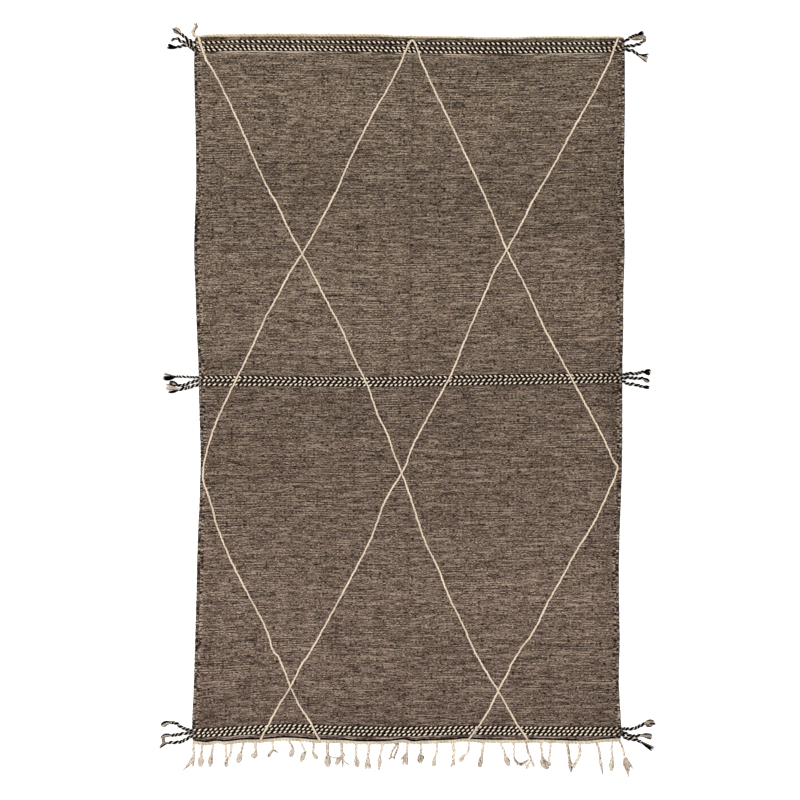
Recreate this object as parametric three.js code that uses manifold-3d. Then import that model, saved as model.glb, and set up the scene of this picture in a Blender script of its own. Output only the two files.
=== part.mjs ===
// Zanafi rug: flat-woven wool cloth with three twined bands whose cords run on past
// both edges, a lattice of raised cream lines, a corded heading at each end and a
// knotted warp fringe at one end. It lies flat, as on a floor.
// Millimetres, +Z up. The origin is the middle of the cloth's underside, and +Y runs
// along its length, away from the fringe.
import * as THREE from 'three';
import Module from 'manifold-3d';
import { mergeVertices } from 'three/addons/utils/BufferGeometryUtils.js';

const wasm = await Module();
wasm.setup();

// Driving dimensions
const gap = 0.3;
const cloth = { thickness: 5, sideHeight: 3.2, round: 2.5, unevenness: 0.4 };
const wave = { across: 210, along: 340, secondAlong: 155, secondAcross: 500, share: 0.25 };
const crease = { x: 5, halfWidth: 15, depth: 0.9 };
const trench = { floor: 2, clearance: 0.5, slope: 0.6 };
const twined = { width: 10.4, height: 6.2 };
const looseCord = {
  width: 8.4, height: 5.6, turnStep: Math.PI / 3, stepLength: 7.5, settleSteps: 2, start: 2,
};
const lattice = {
  width: 10, height: 3.2, ramp: 16, crossingReach: 14,
  stepLength: 8, longestStep: 60, leastBend: 0.05,
};
const topCord = { width: 9, height: 6.5, tailWidth: 6.7, tailHeight: 4.5 };
const bottomCord = { width: 12, height: 7 };
const stem = { width: 8, height: 5.5 };
const lock = {
  width: 5, height: 4.2, rootWidth: 2.4, rootHeight: 3.2, rootDepth: 3,
  tipShare: 0.35, tipHeight: 2.1,
};
const tuftShape = {
  fewerBelow: 12, moreFrom: 26, packing: 0.82, rootSpread: 0.22, rootPacking: 0.85,
  widestAt: 0.55, outerShorter: 0.18, tipSpread: 0.8,
};
const gridStep = { across: 80, along: 180 };

// Side edges of the cloth, down its length
const sideEdges = [
  { y: -1410, left: -865, right: 847 },
  { y: -1350, left: -868, right: 849 },
  { y: -1180, left: -861, right: 840 },
  { y: -1010, left: -856, right: 843 },
  { y: -870, left: -852, right: 841 },
  { y: -750, left: -849, right: 840 },
  { y: -600, left: -845, right: 842 },
  { y: -440, left: -838, right: 848 },
  { y: -270, left: -834, right: 853 },
  { y: -50, left: -840, right: 854 },
  { y: 110, left: -843, right: 854 },
  { y: 210, left: -848, right: 857 },
  { y: 380, left: -854, right: 858 },
  { y: 570, left: -860, right: 863 },
  { y: 840, left: -852, right: 860 },
  { y: 1120, left: -856, right: 864 },
  { y: 1290, left: -860, right: 864 },
  { y: 1404, left: -856, right: 862 },
];

// Middle lines of the two heading cords, from left to right
const topHeading = [
  { x: -852, y: 1411 },
  { x: -760, y: 1415 },
  { x: -130, y: 1415 },
  { x: -40, y: 1411 },
  { x: 230, y: 1408 },
  { x: 300, y: 1405 },
  { x: 440, y: 1405 },
  { x: 500, y: 1408 },
  { x: 856, y: 1408 },
];
const bottomHeading = [
  { x: -864, y: -1414 },
  { x: -808, y: -1420 },
  { x: -776, y: -1414 },
  { x: -740, y: -1417 },
  { x: -664, y: -1410 },
  { x: -600, y: -1409 },
  { x: -504, y: -1402 },
  { x: -436, y: -1404 },
  { x: -388, y: -1409 },
  { x: -256, y: -1412 },
  { x: -208, y: -1416 },
  { x: -96, y: -1416 },
  { x: -20, y: -1410 },
  { x: 16, y: -1417 },
  { x: 52, y: -1414 },
  { x: 180, y: -1410 },
  { x: 224, y: -1405 },
  { x: 276, y: -1409 },
  { x: 412, y: -1411 },
  { x: 544, y: -1410 },
  { x: 708, y: -1415 },
  { x: 776, y: -1408 },
  { x: 842, y: -1404 },
];

// The loose end of the top heading cord, past the left corner
const cornerTail = {
  route: [[-852, 1411], [-861, 1418], [-864, 1431], [-857, 1444]],
  tip: [-857, 1468],
  width: 12,
};

// Twined bands: heights of the three cords' middle lines, from left to right, and
// which neighbouring cords share one trench
const bands = {
  top: {
    trenches: [['first'], ['second', 'third']],
    rows: [
      { x: -788, first: 1386, second: 1367, third: 1355.5 },
      { x: -676, first: 1390, second: 1371, third: 1359.5 },
      { x: -76, first: 1386, second: 1365, third: 1353 },
      { x: 124, first: 1382, second: 1362, third: 1347 },
      { x: 780, first: 1383, second: 1364, third: 1352 },
      { x: 856, first: 1391, second: 1371, third: 1358.5 },
    ],
  },
  middle: {
    trenches: [['first', 'second', 'third']],
    rows: [
      { x: -796, first: 46.5, second: 34.5, third: 18 },
      { x: -656, first: 47, second: 34.5, third: 17 },
      { x: -476, first: 43, second: 30, third: 17.5 },
      { x: -156, first: 41.5, second: 28, third: 15 },
      { x: 64, first: 46, second: 30.5, third: 17.5 },
      { x: 524, first: 53.5, second: 40.5, third: 25.5 },
      { x: 804, first: 57, second: 44, third: 30.5 },
    ],
  },
  bottom: {
    trenches: [['first', 'second', 'third']],
    rows: [
      { x: -836, first: -1364, second: -1376, third: -1388 },
      { x: -484, first: -1346, second: -1358.5, third: -1370.5 },
      { x: -276, first: -1353, second: -1366, third: -1379.5 },
      { x: 4, first: -1357, second: -1370.5, third: -1383 },
      { x: 244, first: -1353, second: -1365, third: -1377 },
      { x: 504, first: -1355.5, second: -1368, third: -1381 },
      { x: 804, first: -1358, second: -1370, third: -1382 },
    ],
  },
};

// Loose ends of the twined cords: the way from the cloth's edge to the frayed tuft,
// the tuft's tip and width, and any lock that strays from it
const looseEnds = {
  top: {
    first: {
      left: { route: [[-873, 1393], [-887, 1399], [-901, 1412], [-914, 1424]],
        tip: [-950, 1444], width: 15 },
      right: { route: [[878, 1402], [900, 1415], [918, 1420]],
        tip: [940, 1429], width: 13, stray: [949, 1410] },
    },
    second: {
      left: { route: [[-873, 1380], [-888, 1388], [-912, 1390], [-923, 1399], [-936, 1403]],
        tip: [-952, 1397], width: 8, thin: 0.6 },
      right: { route: [[878, 1374], [900, 1377], [920, 1381], [932, 1390]],
        tip: [942, 1401], width: 8 },
    },
    third: {
      left: { route: [[-872, 1367], [-886, 1377], [-907, 1372], [-929, 1367]],
        tip: [-968, 1375], width: 19 },
      right: { route: [[878, 1358], [890, 1357], [904, 1349], [919, 1337]],
        tip: [953, 1325], width: 36 },
    },
  },
  middle: {
    first: {
      left: { route: [[-890, 49], [-938, 50]], tip: [-987, 49], width: 22, thin: 0.75 },
      right: { route: [[884, 63], [906, 61], [924, 66], [943, 70]],
        tip: [968, 66], width: 23 },
    },
    second: {
      left: { route: [[-870, 28], [-895, 18], [-910, 15], [-925, 17]],
        tip: [-961, 26], width: 14 },
      right: { route: [[882, 46], [903, 43], [923, 44], [936, 42]],
        tip: [962, 30], width: 14 },
    },
    third: {
      left: { route: [[-865, 12], [-893, 4], [-924, -2]], tip: [-971, 0], width: 24 },
      right: { route: [[880, 20], [897, 20], [916, 15], [936, 9]],
        tip: [961, 7], width: 11 },
    },
  },
  bottom: {
    first: {
      left: { route: [[-888, -1362], [-914, -1351], [-932, -1336], [-955, -1335]],
        tip: [-990, -1352], width: 13 },
      right: { route: [[883, -1360], [904, -1357], [925, -1349], [943, -1340]],
        tip: [984, -1334], width: 25 },
    },
    second: {
      left: { route: [[-892, -1377], [-930, -1383], [-960, -1386]],
        tip: [-994, -1393], width: 13 },
      right: { route: [[871, -1383], [890, -1391], [909, -1392], [932, -1388]],
        tip: [976, -1387], width: 19 },
    },
    third: {
      left: { route: [[-890, -1399], [-916, -1411], [-945, -1413], [-966, -1416]],
        tip: [-999, -1437], width: 12, stray: [-981, -1405] },
      right: { route: [[869, -1395], [890, -1402], [910, -1404], [930, -1413]],
        tip: [977, -1442], width: 18 },
    },
  },
};

// Lattice lines, along their length. The zigzag lies lowest where lines cross.
const latticeLines = {
  lattice_line_zigzag: {
    layer: 0,
    route: [
      [-360, -1401], [-397, -1328], [-435, -1272], [-474, -1191], [-499, -1125],
      [-522, -1073], [-545, -1042], [-574, -954], [-644, -820], [-688, -735], [-722, -664],
      [-770, -542], [-788, -470], [-818, -382], [-824, -340], [-813, -267], [-778, -152],
      [-729, -40], [-652, 116], [-594, 240], [-569, 296], [-536, 352], [-477, 464],
      [-427, 541], [-374, 632], [-286, 800], [-240, 908], [-142, 1104], [-90, 1192],
      [-36, 1296], [12, 1394], [50, 1310], [101, 1196], [156, 1084], [306, 764],
      [391, 556], [465, 412], [541, 244], [606, 124], [761, -164], [799, -244],
      [816, -284], [834, -313], [826, -345], [816, -370], [742, -530], [665, -656],
      [616, -748], [556, -853], [516, -937], [484, -992], [450, -1036], [408, -1105],
      [396, -1134], [357, -1207], [328, -1268], [295, -1324], [240, -1399],
    ],
  },
  lattice_line_falling: {
    layer: 1,
    route: [
      [-840, 1399], [-814, 1324], [-800, 1300], [-767, 1244], [-712, 1132], [-661, 1020],
      [-614, 908], [-561, 796], [-528, 740], [-476, 628], [-427, 541], [-384, 460],
      [-327, 348], [-268, 236], [-220, 124], [-165, 12], [-126, -100], [-84, -186],
      [-66, -244], [-29, -336], [7, -436], [62, -604], [116, -716], [159, -828],
      [214, -940], [264, -1052], [329, -1164], [357, -1207], [427, -1332], [474, -1400],
    ],
  },
  lattice_line_rising: {
    layer: 2,
    route: [
      [-592, -1397], [-552, -1324], [-522, -1268], [-474, -1191], [-428, -1100],
      [-390, -1044], [-297, -876], [-207, -708], [-151, -596], [-110, -484], [-85, -428],
      [-29, -336], [-9, -295], [18, -222], [96, -76], [138, 0], [177, 76], [221, 188],
      [268, 300], [317, 412], [340, 468], [391, 556], [452, 664], [493, 748], [540, 827],
      [587, 909], [641, 1010], [697, 1110], [754, 1211], [766, 1239], [798, 1299],
      [814, 1343], [834, 1397],
    ],
  },
};

// Fringe cords of warp, from left to right: where each leaves the heading, where its
// knot sits, an optional bend on the way, and the tuft's tip and width. A cord with no
// tip is knotted into its neighbour's tuft.
const fringe = [
  { root: -862, knot: [-861, -1464], tip: [-909, -1531], width: 14, stray: [-866, -1513] },
  { root: -826, knot: [-831, -1466], tip: [-836, -1513], width: 25 },
  { root: -784, knot: [-790, -1460], tip: [-797, -1513], width: 21 },
  { root: -734, knot: [-730, -1481], tip: [-732, -1514], width: 18 },
  { root: -709, knot: [-723, -1484] },
  { root: -662, knot: [-672, -1453], tip: [-685, -1497], width: 22 },
  { root: -614, knot: [-613, -1448], tip: [-621, -1479], width: 32, stray: [-634, -1455] },
  { root: -546, knot: [-544, -1442], tip: [-562, -1472], width: 12, stray: [-524, -1456] },
  { root: -484, knot: [-464, -1437], tip: [-474, -1475], width: 22 },
  { root: -436, knot: [-414, -1452], tip: [-433, -1496], width: 18, stray: [-437, -1461] },
  { root: -383, knot: [-385, -1455], tip: [-365, -1484], width: 17 },
  { root: -326, knot: [-326, -1462], tip: [-325, -1514], width: 28 },
  { root: -270, knot: [-267, -1464], tip: [-294, -1505], width: 18, stray: [-243, -1501] },
  { root: -210, knot: [-212, -1470], tip: [-205, -1515], width: 22 },
  { root: -160, knot: [-165, -1478], tip: [-165, -1524], width: 30 },
  { root: -104, bend: [-112, -1452], knot: [-117, -1472], tip: [-121, -1533], width: 20 },
  { root: -47, knot: [-66, -1464], tip: [-79, -1482], width: 8, stray: [-57, -1482] },
  { root: -4, knot: [-8, -1453], tip: [-18, -1505], width: 25, stray: [-35, -1484] },
  { root: 47, knot: [47, -1456], tip: [43, -1500], width: 26 },
  { root: 113, bend: [110, -1455], knot: [102, -1476], tip: [97, -1511], width: 18 },
  { root: 174, bend: [180, -1442], knot: [177, -1489], tip: [167, -1514], width: 8,
    stray: [184, -1510] },
  { root: 239, bend: [235, -1452], knot: [220, -1466], tip: [202, -1492], width: 18 },
  { root: 299, knot: [291, -1466], tip: [281, -1515], width: 19 },
  { root: 362, knot: [383, -1462], tip: [400, -1509], width: 22 },
  { root: 418, knot: [420, -1478], tip: [449, -1505], width: 12 },
  { root: 468, knot: [489, -1482], tip: [502, -1515], width: 10, stray: [473, -1523] },
  { root: 528, knot: [535, -1476], tip: [552, -1521], width: 32 },
  { root: 568, knot: [556, -1481] },
  { root: 631, knot: [641, -1482], tip: [650, -1537], width: 18 },
  { root: 681, bend: [682, -1462], knot: [655, -1518] },
  { root: 751, knot: [765, -1476], tip: [775, -1545], width: 17 },
  { root: 812, knot: [813, -1480], tip: [810, -1530], width: 22 },
  { root: 840, bend: [852, -1428], knot: [864, -1477], tip: [879, -1553], width: 22,
    stray: [896, -1518] },
];

// Cross-sections on a flat foot: half widths across and heights up, as shares
const sections = {
  bar: [[1, 0], [0.6, 1], [-0.6, 1], [-1, 0]],
  lock: [[1, 0], [0, 1], [-1, 0]],
  cord: [[0.5, 0], [1, 0.5], [0.5, 1], [-0.5, 1], [-1, 0.5], [-0.5, 0]],
};

// Height of a curve through a table's rows, found along its key column
function follow(rows, key, column, at) {
  if (at <= rows[0][key]) {
    return rows[0][column];
  }
  const end = rows.length - 1;
  if (at >= rows[end][key]) {
    return rows[end][column];
  }
  const i = rows.findIndex((row) => row[key] > at) - 1;
  const slopeAt = (k) => {
    const a = rows[Math.max(k - 1, 0)];
    const b = rows[Math.min(k + 1, end)];
    return (b[column] - a[column]) / (b[key] - a[key]);
  };
  const span = rows[i + 1][key] - rows[i][key];
  const t = (at - rows[i][key]) / span;
  const s = 1 - t;
  return rows[i][column] * (1 + 2 * t) * s * s
    + rows[i + 1][column] * (1 + 2 * s) * t * t
    + span * s * t * (slopeAt(i) * s - slopeAt(i + 1) * t);
}

function closedGeometry(positions, index) {
  const geometry = new THREE.BufferGeometry();
  geometry.setAttribute('position', new THREE.Float32BufferAttribute(positions.flat(), 3));
  geometry.setIndex(index);
  return geometry;
}

// Closed sweep of a section through stations that lie in plan. A station has x, y, its
// lowest height z, a width, a height and an optional turn of the section.
function sweep(stations, section) {
  const sides = section.length;
  const last = stations.length - 1;
  const positions = stations.flatMap((station, k) => {
    const before = stations[Math.max(k - 1, 0)];
    const after = stations[Math.min(k + 1, last)];
    const length = Math.hypot(after.x - before.x, after.y - before.y);
    const along = [(after.x - before.x) / length, (after.y - before.y) / length];
    const cos = Math.cos(station.turn ?? 0);
    const sin = Math.sin(station.turn ?? 0);
    const turned = section.map(([u, v]) => {
      const across = u * station.width / 2;
      const up = (v - 0.5) * station.height;
      return [across * cos - up * sin, across * sin + up * cos];
    });
    const lowest = Math.min(...turned.map(([, up]) => up));
    return turned.map(([across, up]) => [
      station.x + along[1] * across,
      station.y - along[0] * across,
      station.z + up - lowest,
    ]);
  });
  const index = [];
  for (let k = 0; k < last; k++) {
    for (let s = 0; s < sides; s++) {
      const a = k * sides + s;
      const b = k * sides + (s + 1) % sides;
      index.push(a, b + sides, b);
      index.push(a, a + sides, b + sides);
    }
  }
  for (let s = 1; s + 1 < sides; s++) {
    const endRing = last * sides;
    index.push(0, s, s + 1);
    index.push(endRing, endRing + s + 1, endRing + s);
  }
  return closedGeometry(positions, index);
}

// Stations evenly spaced on a smooth curve through points in plan
function curveStations(points, stepLength, station) {
  const vectors = points.map(([x, y]) => new THREE.Vector3(x, y, 0));
  const curve = new THREE.CatmullRomCurve3(vectors, false, 'centripetal');
  const steps = Math.max(1, Math.round(curve.getLength() / stepLength));
  return curve.getSpacedPoints(steps).map((point, k) => ({
    x: point.x,
    y: point.y,
    ...station(k / steps, k),
  }));
}

// One lock from its root to its tip, passing a side point half way
function lockGeometry(root, side, tip, width, rootWidth) {
  return sweep([
    { x: root[0], y: root[1], z: 0, width: rootWidth, height: lock.rootHeight },
    { x: side[0], y: side[1], z: 0, width, height: lock.height },
    { x: tip[0], y: tip[1], z: 0, width: width * lock.tipShare, height: lock.tipHeight },
  ], sections.lock);
}

// Frayed tuft: locks that fan out from the end of a cord, bulge and draw in towards the
// tip. Their roots stand side by side inside the cord.
function tuft(root, tip, width, stray, cordWidth) {
  const length = Math.hypot(tip[0] - root[0], tip[1] - root[1]);
  const along = [(tip[0] - root[0]) / length, (tip[1] - root[1]) / length];
  const place = (forward, across) => [
    root[0] + along[0] * forward * length - along[1] * across,
    root[1] + along[1] * forward * length + along[0] * across,
  ];
  const { fewerBelow, moreFrom, packing, widestAt, outerShorter, tipSpread } = tuftShape;
  const count = width < fewerBelow ? 2 : width < moreFrom ? 3 : 4;
  const lockWidth = Math.min(lock.width, (width / count) * packing);
  const rootSpread = cordWidth * tuftShape.rootSpread;
  const rootStep = (2 * rootSpread) / (count - 1);
  const rootWidth = Math.min(lock.rootWidth, rootStep * tuftShape.rootPacking);
  const locks = [];
  for (let k = 0; k < count; k++) {
    const side = (k / (count - 1)) * 2 - 1;
    const spread = (width - lockWidth) / 2;
    locks.push(lockGeometry(
      place(-lock.rootDepth / length, side * rootSpread),
      place(widestAt, side * spread),
      place(1 - outerShorter * Math.abs(side), side * spread * tipSpread),
      lockWidth,
      rootWidth,
    ));
  }
  if (stray) {
    const side = [(root[0] + stray[0]) / 2, (root[1] + stray[1]) / 2];
    locks.push(lockGeometry(root, side, stray, lockWidth, rootWidth));
  }
  return locks;
}

function toSolid(geometry) {
  const merged = mergeVertices(geometry, 1e-4);
  return new wasm.Manifold(new wasm.Mesh({
    numProp: 3,
    vertProperties: Float32Array.from(merged.attributes.position.array),
    triVerts: Uint32Array.from(merged.index.array),
  }));
}

function fuse(geometries) {
  const solid = geometries.map(toSolid).reduce((whole, piece) => whole.add(piece));
  const mesh = solid.getMesh();
  const geometry = new THREE.BufferGeometry();
  geometry.setAttribute('position', new THREE.BufferAttribute(mesh.vertProperties, 3));
  geometry.setIndex(new THREE.BufferAttribute(mesh.triVerts, 1));
  return geometry;
}

const edgeAt = (side, y) => follow(sideEdges, 'y', side, y);
const topEnd = (x) => follow(topHeading, 'x', 'y', x) - topCord.width / 2 - gap;
const bottomEnd = (x) => follow(bottomHeading, 'x', 'y', x) + bottomCord.width / 2 + gap;

function surfaceHeight(x, y) {
  const fold = Math.max(0, 1 - Math.abs(x - crease.x) / crease.halfWidth);
  const first = Math.sin(x / wave.across + y / wave.along);
  const second = Math.sin(y / wave.secondAlong - x / wave.secondAcross);
  const dip = 0.5 + wave.share * (first + second);
  return cloth.thickness - crease.depth * fold - cloth.unevenness * dip;
}

// Lines across the cloth from its bottom end to its top end: each has a height y over x,
// and a fixed height where it is the floor of a trench
function clothLines() {
  const wall = twined.width / 2 + trench.clearance;
  const lines = [
    { y: bottomEnd, edge: true },
    { y: (x) => bottomEnd(x) + cloth.round },
  ];
  for (const band of [bands.bottom, bands.middle, bands.top]) {
    for (const cords of [...band.trenches].reverse()) {
      const lowest = cords[cords.length - 1];
      const highest = cords[0];
      const low = (x) => follow(band.rows, 'x', lowest, x) - wall;
      const high = (x) => follow(band.rows, 'x', highest, x) + wall;
      lines.push({ y: (x) => low(x) - trench.slope });
      lines.push({ y: low, floor: trench.floor });
      lines.push({ y: high, floor: trench.floor });
      lines.push({ y: (x) => high(x) + trench.slope });
    }
  }
  lines.push({ y: (x) => topEnd(x) - cloth.round });
  lines.push({ y: topEnd, edge: true });
  const filled = [lines[0]];
  for (const line of lines.slice(1)) {
    const before = filled[filled.length - 1];
    const parts = Math.max(1, Math.round((line.y(0) - before.y(0)) / gridStep.along));
    for (let k = 1; k < parts; k++) {
      filled.push({ y: (x) => THREE.MathUtils.lerp(before.y(x), line.y(x), k / parts) });
    }
    filled.push(line);
  }
  return filled;
}

// Places across the cloth, as shares of its width at any height
function clothColumns() {
  const width = edgeAt('right', 0) - edgeAt('left', 0);
  const share = (x) => (x - edgeAt('left', 0)) / width;
  const regular = Math.round(width / gridStep.across / 2);
  const columns = [0, cloth.round / width];
  const creaseStart = share(crease.x - crease.halfWidth);
  const creaseEnd = share(crease.x + crease.halfWidth);
  for (let k = 1; k < regular; k++) {
    columns.push((creaseStart * k) / regular);
  }
  columns.push(creaseStart, share(crease.x), creaseEnd);
  for (let k = 1; k < regular; k++) {
    columns.push(creaseEnd + ((1 - creaseEnd) * k) / regular);
  }
  columns.push(1 - cloth.round / width, 1);
  return columns;
}

// Where a share of the cloth's width falls on a line across it
function acrossLine(line, share) {
  const middle = line(0);
  const guess = THREE.MathUtils.lerp(edgeAt('left', middle), edgeAt('right', middle), share);
  const y = line(guess);
  const x = THREE.MathUtils.lerp(edgeAt('left', y), edgeAt('right', y), share);
  return { x, y: line(x) };
}

function clothGeometry() {
  const lines = clothLines();
  const columns = clothColumns();
  const positions = [];
  for (const line of lines) {
    columns.forEach((share, i) => {
      const { x, y } = acrossLine(line.y, share);
      const side = line.edge || i === 0 || i === columns.length - 1;
      const surface = side ? cloth.sideHeight : surfaceHeight(x, y);
      positions.push([x, y, line.floor ?? surface]);
    });
  }
  const count = columns.length;
  const index = [];
  for (let j = 0; j + 1 < lines.length; j++) {
    for (let i = 0; i + 1 < count; i++) {
      const a = j * count + i;
      index.push(a, a + 1, a + count + 1);
      index.push(a, a + count + 1, a + count);
    }
  }
  const rim = [];
  for (let i = 0; i < count; i++) {
    rim.push(i);
  }
  for (let j = 1; j < lines.length; j++) {
    rim.push(j * count + count - 1);
  }
  for (let i = count - 2; i >= 0; i--) {
    rim.push((lines.length - 1) * count + i);
  }
  for (let j = lines.length - 2; j > 0; j--) {
    rim.push(j * count);
  }
  const foot = positions.length;
  const outline = rim.map((k) => new THREE.Vector2(positions[k][0], positions[k][1]));
  for (const { x, y } of outline) {
    positions.push([x, y, 0]);
  }
  rim.forEach((k, place) => {
    const next = (place + 1) % rim.length;
    index.push(k, foot + place, foot + next);
    index.push(k, foot + next, rim[next]);
  });
  for (const [a, b, c] of THREE.ShapeUtils.triangulateShape(outline, [])) {
    index.push(foot + a, foot + c, foot + b);
  }
  return closedGeometry(positions, index);
}

// A cord's loose end from the cloth's edge to the tuft, its twist raised in the section
function looseStations(edgePoint, end, twist) {
  const thin = end.thin ?? 1;
  const rest = trench.floor + gap;
  return curveStations([edgePoint, ...end.route], looseCord.stepLength, (t, k) => {
    const settle = Math.min(1, k / looseCord.settleSteps);
    return {
      z: rest * (1 - settle),
      width: THREE.MathUtils.lerp(twined.width, looseCord.width * thin, settle),
      height: THREE.MathUtils.lerp(twined.height, looseCord.height * thin, settle),
      turn: twist * looseCord.turnStep * k,
    };
  });
}

function twinedCord(band, cord, ends, twist) {
  const line = (x) => follow(band.rows, 'x', cord, x);
  const shares = clothColumns().slice(2, -2);
  const inCloth = { z: trench.floor + gap, width: twined.width, height: twined.height };
  const laid = shares.map((share) => ({ ...acrossLine(line, share), ...inCloth }));
  const edges = [-1, 1].map((side) => {
    const { x, y } = acrossLine(line, side < 0 ? 0 : 1);
    return [x + side * looseCord.start, y];
  });
  const left = looseStations(edges[0], ends.left, twist).reverse();
  const right = looseStations(edges[1], ends.right, -twist);
  const pieces = [sweep([...left, ...laid, ...right], sections.cord)];
  for (const end of [ends.left, ends.right]) {
    const root = end.route[end.route.length - 1];
    const cordWidth = looseCord.height * (end.thin ?? 1);
    pieces.push(...tuft(root, end.tip, end.width, end.stray, cordWidth));
  }
  return fuse(pieces);
}

// How far a place is from the nearest cord or lower line that a lattice line steps over
function stepOverDistance(x, y, layer) {
  const distances = [];
  for (const band of Object.values(bands)) {
    for (const cord of ['first', 'second', 'third']) {
      distances.push(Math.abs(y - follow(band.rows, 'x', cord, x)) - twined.width / 2);
    }
  }
  for (const lower of Object.values(latticeLines).filter((line) => line.layer < layer)) {
    const own = Object.values(latticeLines).find((line) => line.layer === layer);
    for (const [px, py] of lower.route) {
      if (own.route.some(([qx, qy]) => qx === px && qy === py)) {
        distances.push(Math.hypot(x - px, y - py) - lattice.crossingReach);
      }
    }
  }
  return Math.min(...distances) - lattice.width / 2;
}

function latticeGeometry({ layer, route }) {
  const onCloth = cloth.thickness + gap;
  const onCords = Math.max(trench.floor + gap + twined.height, onCloth + lattice.height) + gap;
  const fine = curveStations(route, lattice.stepLength, () => ({}));
  fine.forEach((station) => {
    const away = stepOverDistance(station.x, station.y, layer);
    const lift = THREE.MathUtils.clamp(1 - away / lattice.ramp, 0, 1);
    station.z = THREE.MathUtils.lerp(onCloth, onCords, lift);
    station.width = lattice.width;
    station.height = lattice.height;
  });
  const kept = [fine[0]];
  for (let k = 1; k < fine.length - 1; k++) {
    const before = kept[kept.length - 1];
    const bend = Math.abs(fine[k + 1].z - 2 * fine[k].z + fine[k - 1].z) > lattice.leastBend;
    const far = Math.hypot(fine[k].x - before.x, fine[k].y - before.y) > lattice.longestStep;
    if (bend || far) {
      kept.push(fine[k]);
    }
  }
  kept.push(fine[fine.length - 1]);
  return sweep(kept, sections.bar);
}

// Stations of a heading cord, at the same places across as the cloth's own columns
function headingStations(rows, clothEnd, size) {
  return clothColumns().filter((share, i) => i !== 1).map((share) => {
    const { x } = acrossLine(clothEnd, share);
    return { x, y: follow(rows, 'x', 'y', x), z: 0, ...size };
  });
}

function topHeadingGeometry() {
  const laid = headingStations(topHeading, topEnd, topCord);
  const tailStations = curveStations(cornerTail.route, looseCord.stepLength, (t) => ({
    z: 0,
    width: THREE.MathUtils.lerp(topCord.width, topCord.tailWidth, t),
    height: THREE.MathUtils.lerp(topCord.height, topCord.tailHeight, t),
  }));
  const root = cornerTail.route[cornerTail.route.length - 1];
  return fuse([
    sweep([...tailStations.reverse(), ...laid.slice(1)], sections.cord),
    ...tuft(root, cornerTail.tip, cornerTail.width, null, looseCord.height),
  ]);
}

function bottomHeadingGeometry() {
  const strip = headingStations(bottomHeading, bottomEnd, bottomCord);
  const pieces = [sweep(strip, sections.cord)];
  for (const { root, bend, knot, tip, width, stray } of fringe) {
    const start = [root, follow(bottomHeading, 'x', 'y', root)];
    const points = bend ? [start, bend, knot] : [start, knot];
    const stations = points.map(([x, y]) => ({ x, y, z: 0, ...stem }));
    pieces.push(sweep(stations, sections.bar));
    if (tip) {
      pieces.push(...tuft(knot, tip, width, stray, stem.width));
    }
  }
  return fuse(pieces);
}

const materials = {
  field: { color: 0x6f6357, roughness: 0.95, metalness: 0 },
  twined: { color: 0x6a6055, roughness: 0.9, metalness: 0 },
  cream: { color: 0xdcc9ab, roughness: 0.9, metalness: 0 },
};

const rug = new THREE.Group();

function addPiece(name, geometry, look) {
  const mesh = new THREE.Mesh(geometry, new THREE.MeshStandardMaterial(materials[look]));
  mesh.name = name;
  rug.add(mesh);
}

addPiece('cloth', clothGeometry(), 'field');
addPiece('top_heading', topHeadingGeometry(), 'cream');
addPiece('bottom_heading_fringe', bottomHeadingGeometry(), 'cream');
for (const [bandName, band] of Object.entries(bands)) {
  for (const [cord, ends] of Object.entries(looseEnds[bandName])) {
    const falling = bandName === 'top' || (bandName === 'middle' && cord === 'first');
    const geometry = twinedCord(band, cord, ends, falling ? 1 : -1);
    addPiece(`twined_cord_${bandName}_${cord}`, geometry, 'twined');
  }
}
for (const [name, line] of Object.entries(latticeLines)) {
  addPiece(name, latticeGeometry(line), 'cream');
}

export default rug;
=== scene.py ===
import math
import random

import bpy
import numpy as np
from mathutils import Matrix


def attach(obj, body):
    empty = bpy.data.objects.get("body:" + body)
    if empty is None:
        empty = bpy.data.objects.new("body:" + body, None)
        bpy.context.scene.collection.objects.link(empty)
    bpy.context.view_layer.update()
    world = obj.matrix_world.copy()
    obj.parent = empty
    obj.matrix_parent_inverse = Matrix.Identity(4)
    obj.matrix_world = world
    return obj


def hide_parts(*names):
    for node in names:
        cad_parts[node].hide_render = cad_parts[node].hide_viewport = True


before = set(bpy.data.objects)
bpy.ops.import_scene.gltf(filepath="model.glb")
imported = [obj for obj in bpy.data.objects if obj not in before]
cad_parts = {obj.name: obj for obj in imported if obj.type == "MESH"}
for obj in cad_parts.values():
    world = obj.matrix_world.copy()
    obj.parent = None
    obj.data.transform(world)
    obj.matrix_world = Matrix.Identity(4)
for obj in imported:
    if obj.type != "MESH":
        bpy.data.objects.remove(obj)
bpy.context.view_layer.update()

print("frame loaded,", len(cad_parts), "solids")

# The rug lies on z = 0, in metres: +Y away from the fringe, +X to the right seen from above.

studio = {
    "cameraAt": (-0.036, -0.044, 7.561), "lens": 85, "sensorWidth": 36, "viewEnd": 60,
    "worldStrength": 0.74, "sunAt": (-3, 3, 5), "sunStrength": 1.7,
    "sunTurn": (math.radians(-38), math.radians(-30), 0), "sunAngle": math.radians(22),
    "floorSize": 40, "floorHeight": -0.0006, "floorColour": (0.95, 0.95, 0.95, 1),
    "floorGlow": 0.5,
}

bpy.ops.object.select_all(action="DESELECT")
bpy.ops.object.camera_add(location=studio["cameraAt"], rotation=(0, 0, 0))
camera = bpy.context.object
camera.name = "photoCamera"
camera.data.lens = studio["lens"]
camera.data.sensor_width = studio["sensorWidth"]
camera.data.clip_end = studio["viewEnd"]
bpy.context.scene.camera = camera

bpy.ops.object.light_add(type="SUN", location=studio["sunAt"], rotation=studio["sunTurn"])
sun = bpy.context.object
sun.name = "softSun"
sun.data.energy = studio["sunStrength"]
sun.data.angle = studio["sunAngle"]

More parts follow.
